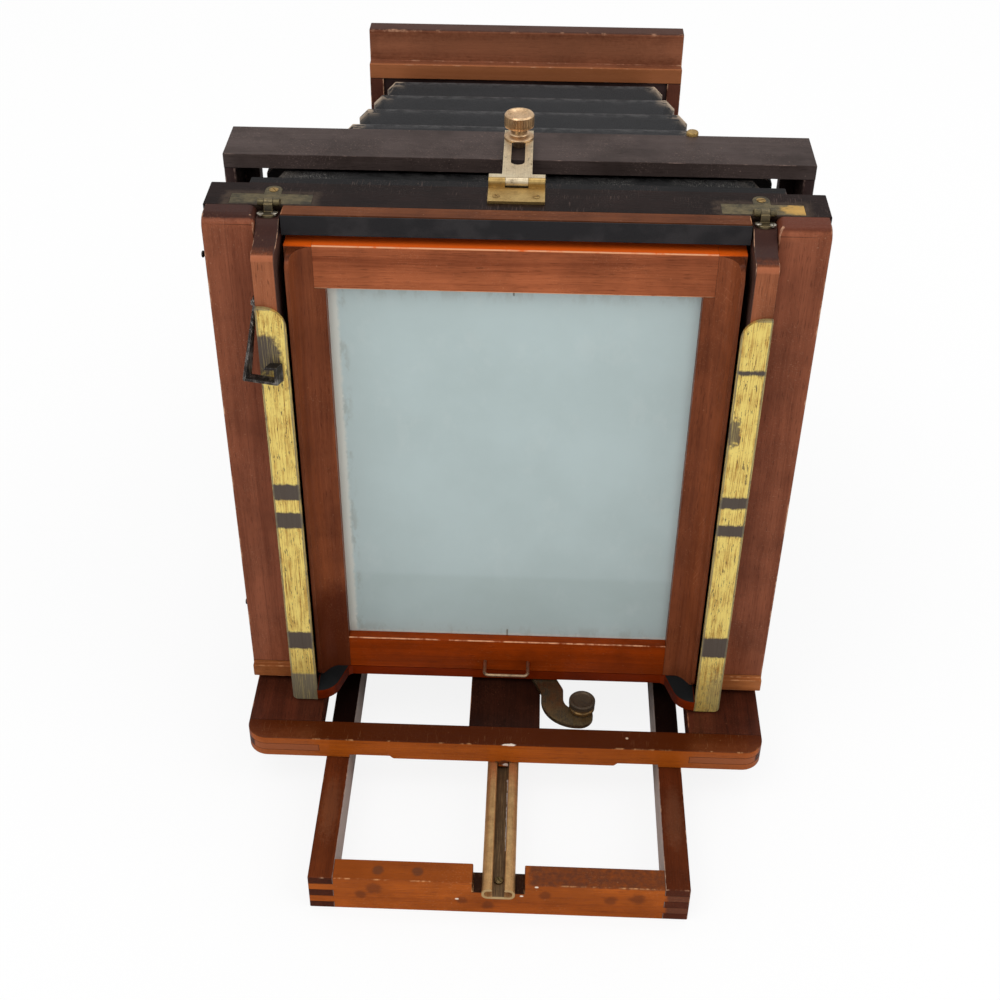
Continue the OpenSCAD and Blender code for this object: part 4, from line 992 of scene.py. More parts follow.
@dataclass
class Bed(Assembly):
    """The long open frame at the bottom, with the stand bush and the brass track."""

    screw_radius: float = 2.6
    shaded: Span = (-186.0, 20.0)
    notch_half: float = 15.4
    stains: tuple[Place, ...] = (
        (-72, 19, 4.5), (-80, 13, 3.2), (-21, 11, 3.2), (-6, 7, 3.4), (27, 18, 3.4), (65, 15, 3.6),
        (80, 17, 4.2),
    )
    chips: Line = ((-24, 12), (13.5, 16.5), (22, 25))
    nails: tuple[float, float] = (-47, -70)

    def build(self) -> None:
        """Dresses the bed's boards, its bush and its track."""
        self.rails()
        rear, top = rear_top("bed_rear_bar")
        # Painted shade: near black on the faces of the notch in the middle of each bar.
        notch_shade = Patch(tone(26, 17, 13), 0.92, 0.6, x=(-self.notch_half, self.notch_half), z=(18.3, None))
        marks = [
            notch_shade,
            Patch(tone(124, 60, 24), 0.6, 0.5, z=(top - 0.5, None)),
            Patch(tone(88, 50, 34), 0.9, 3, 2, x=(18, None), z=(top - 0.5, None)),
            Patch(tone(88, 50, 36), 0.9, 3, 2, x=(97, None)),
        ]
        marks += [
            Spot((x, rear, z), (r, 3, r), tone(84, 40, 20), 0.55, 0.8, 0.5) for x, z, r in self.stains
        ]
        marks += [
            Spot((x, rear + 7, top), (3.2, 3.2, 2), tone(74, 50, 38), 0.6, 0.7, 0.3) for x in self.nails
        ]
        marks += [Spot((x, rear, z), (1.1, 1, 0.7), tone(240, 226, 206), 0.9, 0.4) for x, z in self.chips]
        for node, patches in (("bed_rear_bar", tuple(marks)), ("bed_front_bar", (notch_shade,))):
            self.dress(node, ORANGE_MAHOGANY, patches=patches, wear=0.3)
        self.dress("bed_middle_bar", RED_MAHOGANY)
        self.dress("tripod_bush", OLD_BRASS, grain=Grain.UPRIGHT)
        self.track()

    def rails(self) -> None:
        """The two long rails: a black painted shadow where the carriage shades them, a pale painted
        reflection on their inner sides.
        """
        inner = mm(low("bed_rail_right").x) + 0.25
        sides = (
            ("left", -1, (-inner, None), tone(112, 52, 24), 0.75),
            ("right", 1, (None, inner), tone(97, 43, 20), 0.1),
        )
        for side, sign, pale, light, end in sides:
            marks = (
                # Painted shadow where the carriage shades the rails, then a painted white reflection on
                # each inner side.
                Patch(tone(15, 8, 7), 0.96, 14, 3, y=self.shaded),
                Patch(tone(186, 168, 158), 0.75, 0.3, 0.2, x=pale),
                Spot((sign * 103, -237, 26.7), (5, 22, 2), tone(140, 96, 70), 0.16, 0.9, 0.6),
            )
            self.dress(
                f"bed_rail_{side}", RED_MAHOGANY, patches=marks, light=light, dark=tone(70, 28, 11),
                wear=0.3, scuff=0.08, end=end,
            )

    def track(self) -> None:
        """The rolled brass track and the two screws that hold it down."""
        rear, top = rear_top("track_channel")
        marks = (
            Patch(tone(66, 48, 30), 0.8, 0.6, x=(-3.6, 3.6), z=(None, top - 1.4)),
            # A painted highlight: a near-white streak along one inner lip of the channel.
            Patch(
                tone(220, 210, 200), 0.85, 0.5, 1.3, x=(2.9, 4.2), y=(rear + 34, rear + 90),
                z=(None, top - 0.9),
            ),
            Patch(tone(206, 176, 126), 0.85, 0.3, y=(None, rear + 0.35)),
        )
        self.dress(
            "track_channel", OLD_BRASS, slot="bronze", bright=tone(238, 190, 132),
            tarnish=tone(190, 142, 92), grime=tone(104, 76, 50), dull=0.45, dirt=0.1, rough=0.4,
            patches=marks, edge=0.25,
        )
        rear_end, front_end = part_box("track_screws")
        reach = (front_end.y - rear_end.y) / 2 - 3 * MM
        middle = middle_of("track_screws", 1)
        places = [(0, middle + s * reach, front_end.z - 0.9 * MM) for s in (-1, 1)]
        dark = replace(OLD_BRASS, bright=tone(150, 124, 82), tarnish=tone(70, 56, 40))
        self.screws(
            "track_screw_heads", places, "bed", self.screw_radius, 0.9, finish=dark,
            nodes=("track_screws",),
        )


@dataclass
class FrontStandard(Assembly):
    """The fixed front: two legs, a stepped top rail, the throat board and the panel's guides."""

    pin_count: int = 5
    pin_inset: float = 8.4
    pin_ends: tuple[float, float] = (14.0, 10.0)
    hidden_height: float = 280.5
    hidden_reach: float = 12.0

    def build(self) -> None:
        """Dresses the standard's boards."""
        for side in SIDES:
            self.dress(f"front_leg_{side}", RED_MAHOGANY, light=tone(104, 60, 46), dark=tone(64, 32, 24))
        rear, top = rear_top("front_top_rail")
        marks = (
            Spot((0, rear + 8, top - 12), (150, 20, 10), tone(160, 104, 76), 0.35, 1.2, 0.8),
            Patch(tone(176, 108, 64), 0.5, 0.8, y=(None, rear + 1.5)),
            Patch(tone(58, 38, 32), 0.85, 0.6, z=(top - 0.6, None)),
        )
        self.dress(
            "front_top_rail", RED_MAHOGANY, light=tone(148, 90, 63), dark=tone(96, 50, 33),
            worn=tone(188, 140, 110), wear=0.25, scuff=0.1, edge=1.1, patches=marks,
        )
        self.dress("front_throat_board", EBONISED, grain=Grain.ACROSS)
        self.dress("panel_guides", RED_MAHOGANY, light=tone(118, 66, 44))
        self.pins()

    def pins(self) -> None:
        """Brass screws down the front of each guide, but for the height that the top rail hides."""
        box_low, box_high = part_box("panel_guides")
        foot, head = (inset * MM for inset in self.pin_ends)
        heights = np.linspace(box_low.z + foot, box_high.z - head, self.pin_count)
        open_heights = [z for z in heights if abs(mm(z) - self.hidden_height) > self.hidden_reach]
        across = box_high.x - self.pin_inset * MM
        places = [(s * across, box_high.y, z) for s in (-1, 1) for z in open_heights]
        self.screws("guide_screws", places, "bed", 2.2, along="y")


@dataclass
class RisingFront(Assembly):
    """The panel that slides up, its square lens board and the brass lens."""

    around: int = 96
    screw_ring: float = 40.0
    tube: float = 32.0
    panel_screw_knob: float = 6.2

    def build(self) -> None:
        """Dresses the boards and turns the lens."""
        self.dress("rising_panel", RED_MAHOGANY, light=tone(134, 76, 52))
        self.dress("lens_board", FRAME_MAHOGANY, grain=Grain.UPRIGHT)
        self.dress("lens_flange", OLD_BRASS, bright=tone(214, 170, 92), grain=Grain.ACROSS, edge=0.5)
        self.lens()
        for side in SIDES:
            self.panel_screw(f"panel_screw_{side}")

    def lens(self) -> None:
        """The barrel with a knurled ring and a flared hood, its two glasses and the flange's screws."""
        start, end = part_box("lens_barrel")
        centre = (middle_of("lens_barrel", 0), start.y, middle_of("lens_barrel", 2))
        length, r = mm(end.y - start.y), self.tube
        outer = [
            (r - 2, 0), (r, 0), (r, 12), (r + 0.8, 12.6), (r + 0.8, 15), (r, 15.6), (r, 26), (r + 2.2, 27),
            (r + 2.2, 37), (r, 38), (r, length - 17), (r + 1.4, length - 16), (r + 1.4, length - 14),
            (r + 0.6, length - 13), (r + 4.6, length - 10), (r + 5.6, length - 2.2), (r + 6, length - 1.5),
            (r + 5.6, length), (r + 4, length), (r + 3.4, length - 3), (r + 2.8, length - 11),
            (r - 2, length - 15.8),
        ]
        shell = turned_grid(softened(metres(outer), 0.5 * MM), 360, Knurl(90, 0.7, 27.2, 36.8))
        brass = replace(
            OLD_BRASS, slot="bright_brass", bright=tone(220, 176, 98), tarnish=tone(168, 126, 66), dirt=0.2,
            grain=Grain.ACROSS, rough=0.24,
        )
        self.turned("lens_tube", [moved(shell, centre, "y")], brass, "rising_front", "lens_barrel")
        inside = [
            (r - 2.05, 0.4), (r - 2.05, length - 15.9), (r - 4, length - 15.9), (r - 4, length - 18),
            (r - 4, 6), (r - 4, 0.4),
        ]
        lining = moved(turned_grid(metres(inside), self.around), centre, "y")
        black = Metal(
            "lens_blacking", tone(30, 29, 28), tone(22, 21, 20), tone(12, 12, 12), "steel", rough=0.6,
            seed=0.0,
        )
        made = shaped(black.name, [lining], black.material(), (True, True))
        dressed(made, "rising_front", black.slot)
        grids = [moved(self.element(near), centre, "y") for near in (6.2, length - 17)]
        glass = ClearGlass("lens_elements")
        made = shaped(glass.name, grids, glass.material(), (False, True))
        dressed(made, "rising_front", "clear_glass", "lens_glasses")
        ring, face = self.screw_ring * MM, high("lens_flange").y - 0.1 * MM
        angles = np.radians(np.arange(30, 360, 60))
        places = [(ring * math.cos(a), face, centre[2] + ring * math.sin(a)) for a in angles]
        self.screws("flange_screws", places, "rising_front", 2.6, along="y")

    def element(self, near: float) -> np.ndarray:
        """One glass about Z: a flat side near millimetres along, and a bulge 5 mm over its 3 mm rim."""
        radius = (self.tube - 4.2) * MM
        shares = [float(share) for share in np.linspace(0, 1, 14)]
        dome = [(share * (self.tube - 4.2) * MM, (near + 3 + 5 * (1 - share**2)) * MM) for share in shares]
        return turned_grid([(0, near * MM), (radius, near * MM), *dome[::-1]], self.around)

    def panel_screw(self, node: str) -> None:
        """A knurled thumbscrew that locks the panel."""
        start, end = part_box(node)
        centre = (middle_of(node, 0), start.y, middle_of(node, 2))
        length, r = mm(end.y - start.y), self.panel_screw_knob
        line = [
            (0, 0), (2.35, 0), (2.35, length - 10), (4, length - 10), (4, length - 7),
            (r - 0.8, length - 7), (r, length - 6.2), (r, length - 0.8), (r - 0.8, length),
            (2, length - 0.5), (0, length - 0.5),
        ]
        grid = turned_grid(metres(line), 128, Knurl(32, 0.5, length - 6.3, length - 0.7))
        self.turned(f"{node}_knob", [moved(grid, centre, "y")], OLD_BRASS, node, node)


@dataclass
class Carriage(Assembly):
    """The sliding carriage with the dark hoop and the collar board of the two bellows."""

    peg_x: float = 97.4

    def build(self) -> None:
        """Dresses the carriage, the hoop and the hinge leaves, and adds the small brass peg."""
        rear, top = rear_top("carriage_rear_bar")
        self.dress(
            "carriage_rear_bar", ORANGE_MAHOGANY, patches=self.rear_marks(rear, top), wear=0.22, soot=0.25,
            scuff=0.12, edge=0.7,
        )
        outer = Patch(tone(158, 88, 52), 0.85, 1.5, 0.8, y=(None, rear + 3), z=(None, top - 0.6))
        self.dress(
            "carriage_wings", DARK_MAHOGANY, grain=Grain.ALONG, patches=(outer,), wear=0.35, edge=0.7,
        )
        self.dress("carriage_centre_board", DARK_MAHOGANY, light=tone(58, 28, 18), dark=tone(24, 12, 9))
        self.dress("carriage_front_bar", ORANGE_MAHOGANY)
        self.dress("clamp_bolt", OLD_BRASS)
        self.dress("tilt_hinge_leaves", OLD_BRASS, grain=Grain.UPRIGHT, dull=0.7)
        self.dress("hoop_legs", EBONISED, grain=Grain.UPRIGHT, edge=1.0, wear=0.3)
        self.dress(
            "hoop_top_bar", EBONISED, edge=1.0, wear=0.2, light=tone(83, 71, 68), dark=tone(54, 43, 39),
            scuff=0.55,
        )
        self.dress(
            "bellows_collar", EBONISED, grain=Grain.ACROSS, light=tone(40, 36, 34), dark=tone(20, 18, 18),
        )
        self.peg()

    def rear_marks(self, rear: float, top: float) -> tuple[Mark, ...]:
        """The rear bar's dark top, its browner ends and its chips."""
        half = mm(high("carriage_rear_bar").x)
        faces = {"y": (None, rear + 8), "z": (None, top - 1)}
        ends = [
            Patch(tone(150, 84, 50), 0.5, 12, 2, x=x, **faces)
            for x in ((None, 42 - half), (half - 44, None))
        ]
        return (
            Patch(tone(66, 24, 6), 0.95, 0.5, z=(top - 0.5, None)),
            *ends,
            Spot((3, rear, top), (4.2, 1.2, 0.7), tone(240, 222, 206), 0.9, 0.5, 0.8),
            Spot((0, rear, top - 16), (5, 2, 2), tone(70, 42, 30), 0.8, 0.7, 0.6),
            Spot((1.5, rear, top - 17.5), (2.2, 1, 1.0), tone(236, 218, 204), 0.9, 0.5, 0.9),
            Spot((76, rear + 9, top), (0.8, 0.8, 0.8), tone(220, 190, 160), 0.8),
        )

    def peg(self) -> None:
        """A small square brass stop on the front edge of the hoop's top."""
        corner = high("hoop_top_bar")
        place = (self.peg_x * MM, corner.y + 1.0 * MM, corner.z - 4 * MM)
        grid = turned_grid(metres([(0, 0), (3.2, 0), (3.4, 0.3), (3.4, 5.4), (3.0, 6), (0, 6)]), 24)
        self.turned("hoop_peg", [moved(grid, place)], OLD_BRASS, "carriage")


@dataclass
class ClampLever(Assembly):
    """The swan-necked bronze lever and its dished knob."""

    def build(self) -> None:
        """Dresses the lever and turns its knob."""
        self.dress(
            "clamp_lever", OLD_BRASS, slot="bronze", bright=tone(162, 136, 96), tarnish=tone(104, 86, 62),
            grime=tone(44, 35, 26), dull=0.7, dirt=0.5, edge=0.5,
        )
        start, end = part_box("clamp_knob")
        centre = (middle_of("clamp_knob", 0), middle_of("clamp_knob", 1), start.z)
        r, h = mm(end.x - start.x) / 2, mm(end.z - start.z)
        line = [
            (0, 0), (r - 1, 0), (r - 0.2, 0.8), (r - 0.2, 2.6), (r - 0.9, 3.0), (r - 0.9, 3.4), (r, 4.0),
            (r, h - 0.8), (r - 0.6, h), (r - 1.6, h - 0.1), (r - 2.6, h - 0.9), (0, h - 1.3),
        ]
        upper = Patch(tone(60, 50, 42), 0.8, 1.2, 0.6, z=(mm(start.z) + 4.6, None))
        knob = replace(
            OLD_BRASS, bright=tone(150, 118, 74), tarnish=tone(96, 72, 46), dirt=0.4, patches=(upper,),
        )
        grid = turned_grid(softened(metres(line), 0.3 * MM), 96, Knurl(40, 0.25, 4.1, h - 1.0))
        self.turned("lever_knob", [moved(grid, centre)], knob, "clamp_lever", "clamp_knob")


@dataclass
class Back(Assembly):
    """The dark frame of the back with its red side rails, fillet, velvet, shelf and hinges."""

    stud_places: Line = ((-137.8, 336.7), (-133.8, 85.3))
    halo_inset: float = 21.5
    halo_half: float = 25.0
    slot_x: float = 134.5
    joint: Span = (-149.3, -149.0)

    def build(self) -> None:
        """Dresses the back's boards and fittings, and adds its screws and studs."""
        self.stiles()
        self.boards()
        self.fittings()
        self.fastenings()
        self.studs()

    def stiles(self) -> None:
        """The dark stiles with a red rail on the rear of each."""
        rear, top = rear_top("side_rail_left")
        for side, tint in zip(SIDES, (PURPLE_BROWN, tone(96, 50, 36))):
            self.dress(f"back_stile_{side}", EBONISED, wear=0.3)
            marks = (
                Patch(tint, 0.85, 1.2, 0.8, y=(rear + 2.8, rear + 15), z=(top - 4, None)),
                Patch(tone(74, 38, 28), 0.35, 0.4, x=self.joint),
                # The top rear edge: a worn pale line that is also a painted highlight.
                Patch(tone(206, 160, 128), 0.7, 0.5, 0.4, y=(None, rear + 0.9), z=(top - 0.9, None)),
            )
            self.dress(f"side_rail_{side}", RED_MAHOGANY, patches=marks, wear=0.35, edge=0.9)

    def boards(self) -> None:
        """The dark rails, the ledges, the fillet, the orange shelf, and their velvet and felt."""
        rear, top = rear_top("side_rail_left")
        plate, half = mm(high("hinge_plates").x) - self.halo_inset, self.halo_half
        spans = [(s * plate - half, s * plate + half) for s in (-1, 1)]
        halo = [
            Patch(tone(92, 76, 62), 0.4, 5, 4, x=x, y=(rear + 13, rear + 31), z=(top - 1, None))
            for x in spans
        ]
        lip = Patch(tone(22, 21, 22), 0.95, 0.2, y=(mm(high("back_stile_left").y) + 0.2, None))
        self.dress(
            "back_top_rail", EBONISED, light=tone(36, 21, 18), dark=tone(19, 11, 9), scuff=0.3,
            patches=(*halo, lip), wear=0.25,
        )
        self.dress("back_bottom_rail", EBONISED)
        self.dress(
            "back_ledges", ORANGE_MAHOGANY, light=tone(176, 108, 62), dark=tone(124, 62, 28), wear=0.3,
        )
        self.dress(
            "back_fillet", FRAME_MAHOGANY, slot="orange_wood", light=tone(117, 66, 36),
            dark=tone(72, 33, 16), wear=0.5,
        )
        self.pile(Pile("back_velvet"))
        self.dress(
            "shelf", ORANGE_MAHOGANY, slot="mahogany", light=tone(128, 40, 2), dark=tone(86, 24, 1),
            worn=tone(190, 96, 44), wear=0.2, scuff=0.0,
        )
        self.pile(Pile("shelf_felts", tone(13, 15, 16), tone(25, 27, 28)))

    def pile(self, cloth: Pile) -> None:
        """Dresses the velvet or felt strip that the cloth is named after."""
        eased(cloth.name, cloth.material(), "velvet", 0.15)

    def fittings(self) -> None:
        """The T plates, the strap's base and the tilt hinge's knuckles."""
        rear = mm(low("side_rail_left").y)
        gold = Spot((147, rear + 22, 370), (9, 6, 3), tone(214, 170, 92), 0.85, 0.7, 0.8)
        places = [(s * self.slot_x, rear + 13.5, 369) for s in (-1, 1)]
        # Painted shade: black spots that stand for the darkness inside the plates' open slots.
        slot_shades = [Spot(place, (3.2, 1.6, 2.5), tone(14, 12, 11), 1.2, 0.3) for place in places]
        self.dress(
            "hinge_plates", OLD_BRASS, bright=tone(150, 132, 92), tarnish=tone(96, 88, 68),
            grime=tone(50, 44, 36), dull=0.85, dirt=0.45, patches=(gold, *slot_shades),
        )
        self.dress(
            "strap_base", OLD_BRASS, bright=tone(216, 184, 118), tarnish=tone(160, 128, 76), dirt=0.25,
        )
        self.dress("tilt_hinge_knuckles", OLD_BRASS, grain=Grain.UPRIGHT, dull=0.7)

    def fastenings(self) -> None:
        """Countersunk screws in the T plates and in the strap's base."""
        z = high("back_top_rail").z
        middle, y = arm_middle(), high("hinge_plates").y - 4.6 * MM
        self.screws("hinge_plate_screws", [(s * middle, y, z) for s in (-1, 1)], "back", 2.5, 0.35)
        y, z = low("strap_base").y + 5.5 * MM, z + 1.6 * MM
        self.screws("strap_base_screws", [(s * 10.5 * MM, y, z) for s in (-1, 1)], "back", 2.1, 0.35)

    def studs(self) -> None:
        """Two small black studs that stand out of the left side."""
        line = [
            (0, -1), (1.3, -1), (1.3, 1.6), (0.9, 2.2), (0.9, 3.2), (1.9, 4.0), (1.9, 4.6), (1.2, 5.0),
            (0, 5.0),
        ]
        grid = turned_grid(softened(metres(line), 0.2 * MM), 24)
        edge = low("back_stile_left").x
        iron = Metal("iron", tone(60, 56, 52), tone(36, 33, 31), tone(20, 18, 17), "steel", rough=0.45)
        grids = [moved(grid, (edge, (y + 15) * MM, z * MM), "-x") for y, z in self.stud_places]
        self.turned("back_studs", grids, iron, "back")


@dataclass
class StrapAndScrew(Assembly):
    """The slotted brass strap and the knurled screw that clamps it on the hoop."""

    head: float = 14.2

    def build(self) -> None:
        """Dresses the strap and turns the knurled screw."""
        self.dress(
            "slotted_strap", OLD_BRASS, slot="bright_brass", bright=tone(240, 224, 190),
            tarnish=tone(190, 170, 138), dirt=0.3, metallic=0.8,
        )
        node = "top_thumbscrew"
        start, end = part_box(node)
        centre = (0.0, middle_of(node, 1), start.z)
        r, z = mm(end.x - start.x) / 2, mm(end.z - start.z) - self.head
        line = [
            (0, 0), (3.2, 0), (3.2, z), (r, z), (r, z + 1.2), (r - 1.6, z + 2), (r - 3.2, z + 2.2),
            (r - 3.6, z + 3), (r - 3.6, z + 6.2), (r - 0.7, z + 6.6), (r, z + 7.2), (r, z + 13.2),
            (r - 0.8, z + 14.2), (r - 2.2, z + 14.1), (r - 3.4, z + 13.4), (0, z + 13.2),
        ]
        grid = turned_grid(softened(metres(line), 0.3 * MM), 238, Knurl(34, 0.75, z + 7.3, z + 13.1))
        knob = replace(OLD_BRASS, bright=tone(250, 214, 170), tarnish=tone(182, 146, 108), dirt=0.3)
        self.turned("knurled_screw", [moved(grid, centre)], knob, node, node)


@dataclass
class Cradle(Assembly):
    """The swinging cradle: two arms with an ogee, brass strips on their faces and hinge leaves."""

    strip_inner: float = 118.5
    tarnished_foot: float = 66.0
    left_bands: tuple[Span, ...] = ((202.9, 213.7), (182.5, 193.5), (87.5, 100.9))
    right_bands: tuple[Span, ...] = ((294.7, 297.1), (205.4, 213.2), (185.2, 193.2), (90.6, 106.3))

    def build(self) -> None:
        """Dresses the arms, the strips and the leaves, and adds the leaves' screws."""
        top = mm(high("arm_left").z)
        inner = mm(low("arm_right").x) + 0.5
        for side, flank in zip(SIDES, ((-inner, None), (None, inner))):
            marks = (
                # Painted shade on the neck's cove above the bead, then a painted highlight along the bead.
                Patch(PURPLE_BROWN, 0.92, 1.0, 0.5, z=(top - 8, None)),
                Patch(tone(176, 104, 72), 0.6, 1.2, 0.5, z=(top - 12, top - 9)),
                Patch(tone(62, 50, 48), 0.85, 0.5, x=flank),
            )
            self.dress(
                f"arm_{side}", RED_MAHOGANY, patches=marks, light=tone(174, 106, 72),
                dark=tone(112, 58, 36), wear=0.5,
            )
        self.strips()
        self.dress(
            "hinge_leaves", OLD_BRASS, bright=tone(150, 132, 96), tarnish=tone(98, 90, 72),
            grime=tone(52, 45, 38), dull=0.8, grain=Grain.ALONG,
        )
        self.leaf_screws()

    def strips(self) -> None:
        """The gold facing strips, with bands of old dark lacquer across them and dull borders."""
        corner = high("brass_strips")
        outer, inner, top = mm(corner.x), self.strip_inner, mm(corner.z)
        dark, olive = tone(78, 66, 56), tone(110, 100, 80)
        marks: list[Mark] = [Patch(olive, 0.7, 0.8, 0.3, z=(top - 1.1, None))]
        for near, far, bands in ((-outer, -inner, self.left_bands), (inner, outer, self.right_bands)):
            marks += [Patch(dark, 1.3, 2.2, 1.6, x=(near, far), z=band) for band in bands]
            marks += [Patch(olive, 0.75, 0.6, 0.4, x=x) for x in ((near, near + 1.0), (far - 1.0, far))]
        marks += [
            Spot((-131, SCREEN_REAR, 300), (8.5, 4, 13), dark, 0.95, 0.5, 0.5),
            Spot((121, SCREEN_REAR, 257), (3.4, 4, 9), dark, 0.8, 0.6, 1.2),
            Spot((131, SCREEN_REAR, 60), (7, 4, 18), olive, 0.5, 1.0, 0.8),
            Patch(olive, 0.95, 2.4, 1.5, x=(None, -inner + 1), z=(None, self.tarnished_foot)),
        ]
        self.dress(
            "brass_strips", OLD_BRASS, slot="bright_brass", bright=tone(255, 228, 128),
            tarnish=tone(186, 134, 58), grime=tone(62, 46, 26), dull=0.24, dirt=0.1, brushed=1.7,
            rough=0.34, metallic=0.66, dashes=0.6, patches=tuple(marks), edge=0.3,
        )

    def leaf_screws(self) -> None:
        """Two screws in each leaf."""
        corner = low("hinge_leaves")
        middle, z = arm_middle(), corner.z + 1.5 * MM
        spots = ((3.9, 2.3), (-3.4, 3.1))
        places = [(s * (middle + x * MM), corner.y + y * MM, z) for s in (-1, 1) for x, y in spots]
        steel = Metal(
            "leaf_steel", tone(206, 198, 182), tone(128, 122, 110), tone(56, 52, 46), "steel", dull=0.4,
            dirt=0.2,
        )
        self.screws("leaf_screws", places, "cradle", 1.7, finish=steel)


@dataclass
class Screen(Assembly):
    """The sliding frame that holds the ground glass, with its wire pull."""

    wire: float = 1.1
    bend: float = 3.0

    def build(self) -> None:
        """Dresses the frame and the glass, and bends the wire pull."""
        top = mm(high("glass_rail_top").z)
        # The orange tops, made brighter as a painted sheen of reflected light.
        crown_sheen = Patch(tone(238, 98, 18), 0.85, 0.6, z=(top - 0.6, None))
        foot = Patch(tone(74, 27, 10), 0.75, 25, 10, z=(None, 120))
        streaks = [
            Spot((x, SCREEN_REAR, top), (19, 2.2, 1), tone(50, 19, 9), 0.7, 1.5, 1.2)
            for x in range(-104, 110, 26)
        ]
        for side, marks in zip(SIDES, ((foot, crown_sheen), (crown_sheen,))):
            self.dress(
                f"glass_stile_{side}", FRAME_MAHOGANY, wear=0.8, edge=0.7, patches=marks,
                light=tone(142, 77, 46), dark=tone(87, 40, 22),
            )
        self.dress(
            "glass_rail_top", FRAME_MAHOGANY, patches=(crown_sheen, *streaks), wear=0.8, light=tone(180, 101, 63),
            dark=tone(100, 42, 20),
        )
        self.dress(
            "glass_rail_bottom", FRAME_MAHOGANY, light=tone(158, 60, 8), dark=tone(98, 35, 4), wear=0.6,
            scuff=0.1,
        )
        sight_low = (mm(low("glass_rail_bottom").x), mm(high("glass_rail_bottom").z))
        sight_high = (mm(high("glass_rail_top").x), mm(low("glass_rail_top").z))
        glass = GroundGlass("ground_glass", sight_low, sight_high)
        eased(glass.name, glass.material(), "frosted_glass", 0.2)
        self.pull()

    def pull(self) -> None:
        """The wire pull: legs out of the rail, a quarter bend at each corner, and the bar."""
        start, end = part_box("pull_handle")
        half = (end.x - start.x) / 2 - self.wire * MM
        out, r = start.y + self.wire * MM, self.bend * MM
        quarter = np.linspace(0, math.pi / 2, 9)
        bend = np.stack([half - r + r * np.cos(quarter), out + r - r * np.sin(quarter)], -1)
        right = np.concatenate([[[half, end.y], [half, end.y - 3 * MM]], bend])
        line = np.concatenate([right, right[::-1] * (-1, 1)])
        path = np.column_stack([line, np.full(len(line), middle_of("pull_handle", 2))])
        bronze = Metal(
            "pull", tone(206, 174, 138), tone(128, 104, 82), tone(52, 40, 32), "bronze", seed=0.0,
            dull=0.45, dirt=0.35,
        )
        self.turned("pull", [tube_grid(path, self.wire * MM, 20)], bronze, "screen", "pull_handle")


@dataclass
class Latch(Assembly):
    """The steel hook on the left arm."""

    def build(self) -> None:
        """Dresses the hook."""
        steel = Metal("steel", tone(214, 206, 198), tone(62, 57, 54), tone(34, 30, 28), "steel")
        self.dress("latch_hook", steel, dull=1.0, dirt=0.3, rough=0.36, edge=0.45)


def between(first: float | np.ndarray, second: float | np.ndarray, share: np.ndarray) -> np.ndarray:
    """From the first value where share is 0 to the second where it is 1."""
    return first * (1 - share) + second * share


@dataclass(frozen=True)
class Ring:
    """An eight-sided section of a bellows: half width, half height, middle height."""

    half_width: float
    half_height: float
    middle: float

    def carried_back(self, front: "Ring", share: float) -> "Ring":
        """The section at the rear end, when this one lies a share of the way to the front one."""
        pairs = zip(astuple(self), astuple(front))
        return Ring(*((here - ahead * share) / (1 - share) for here, ahead in pairs))


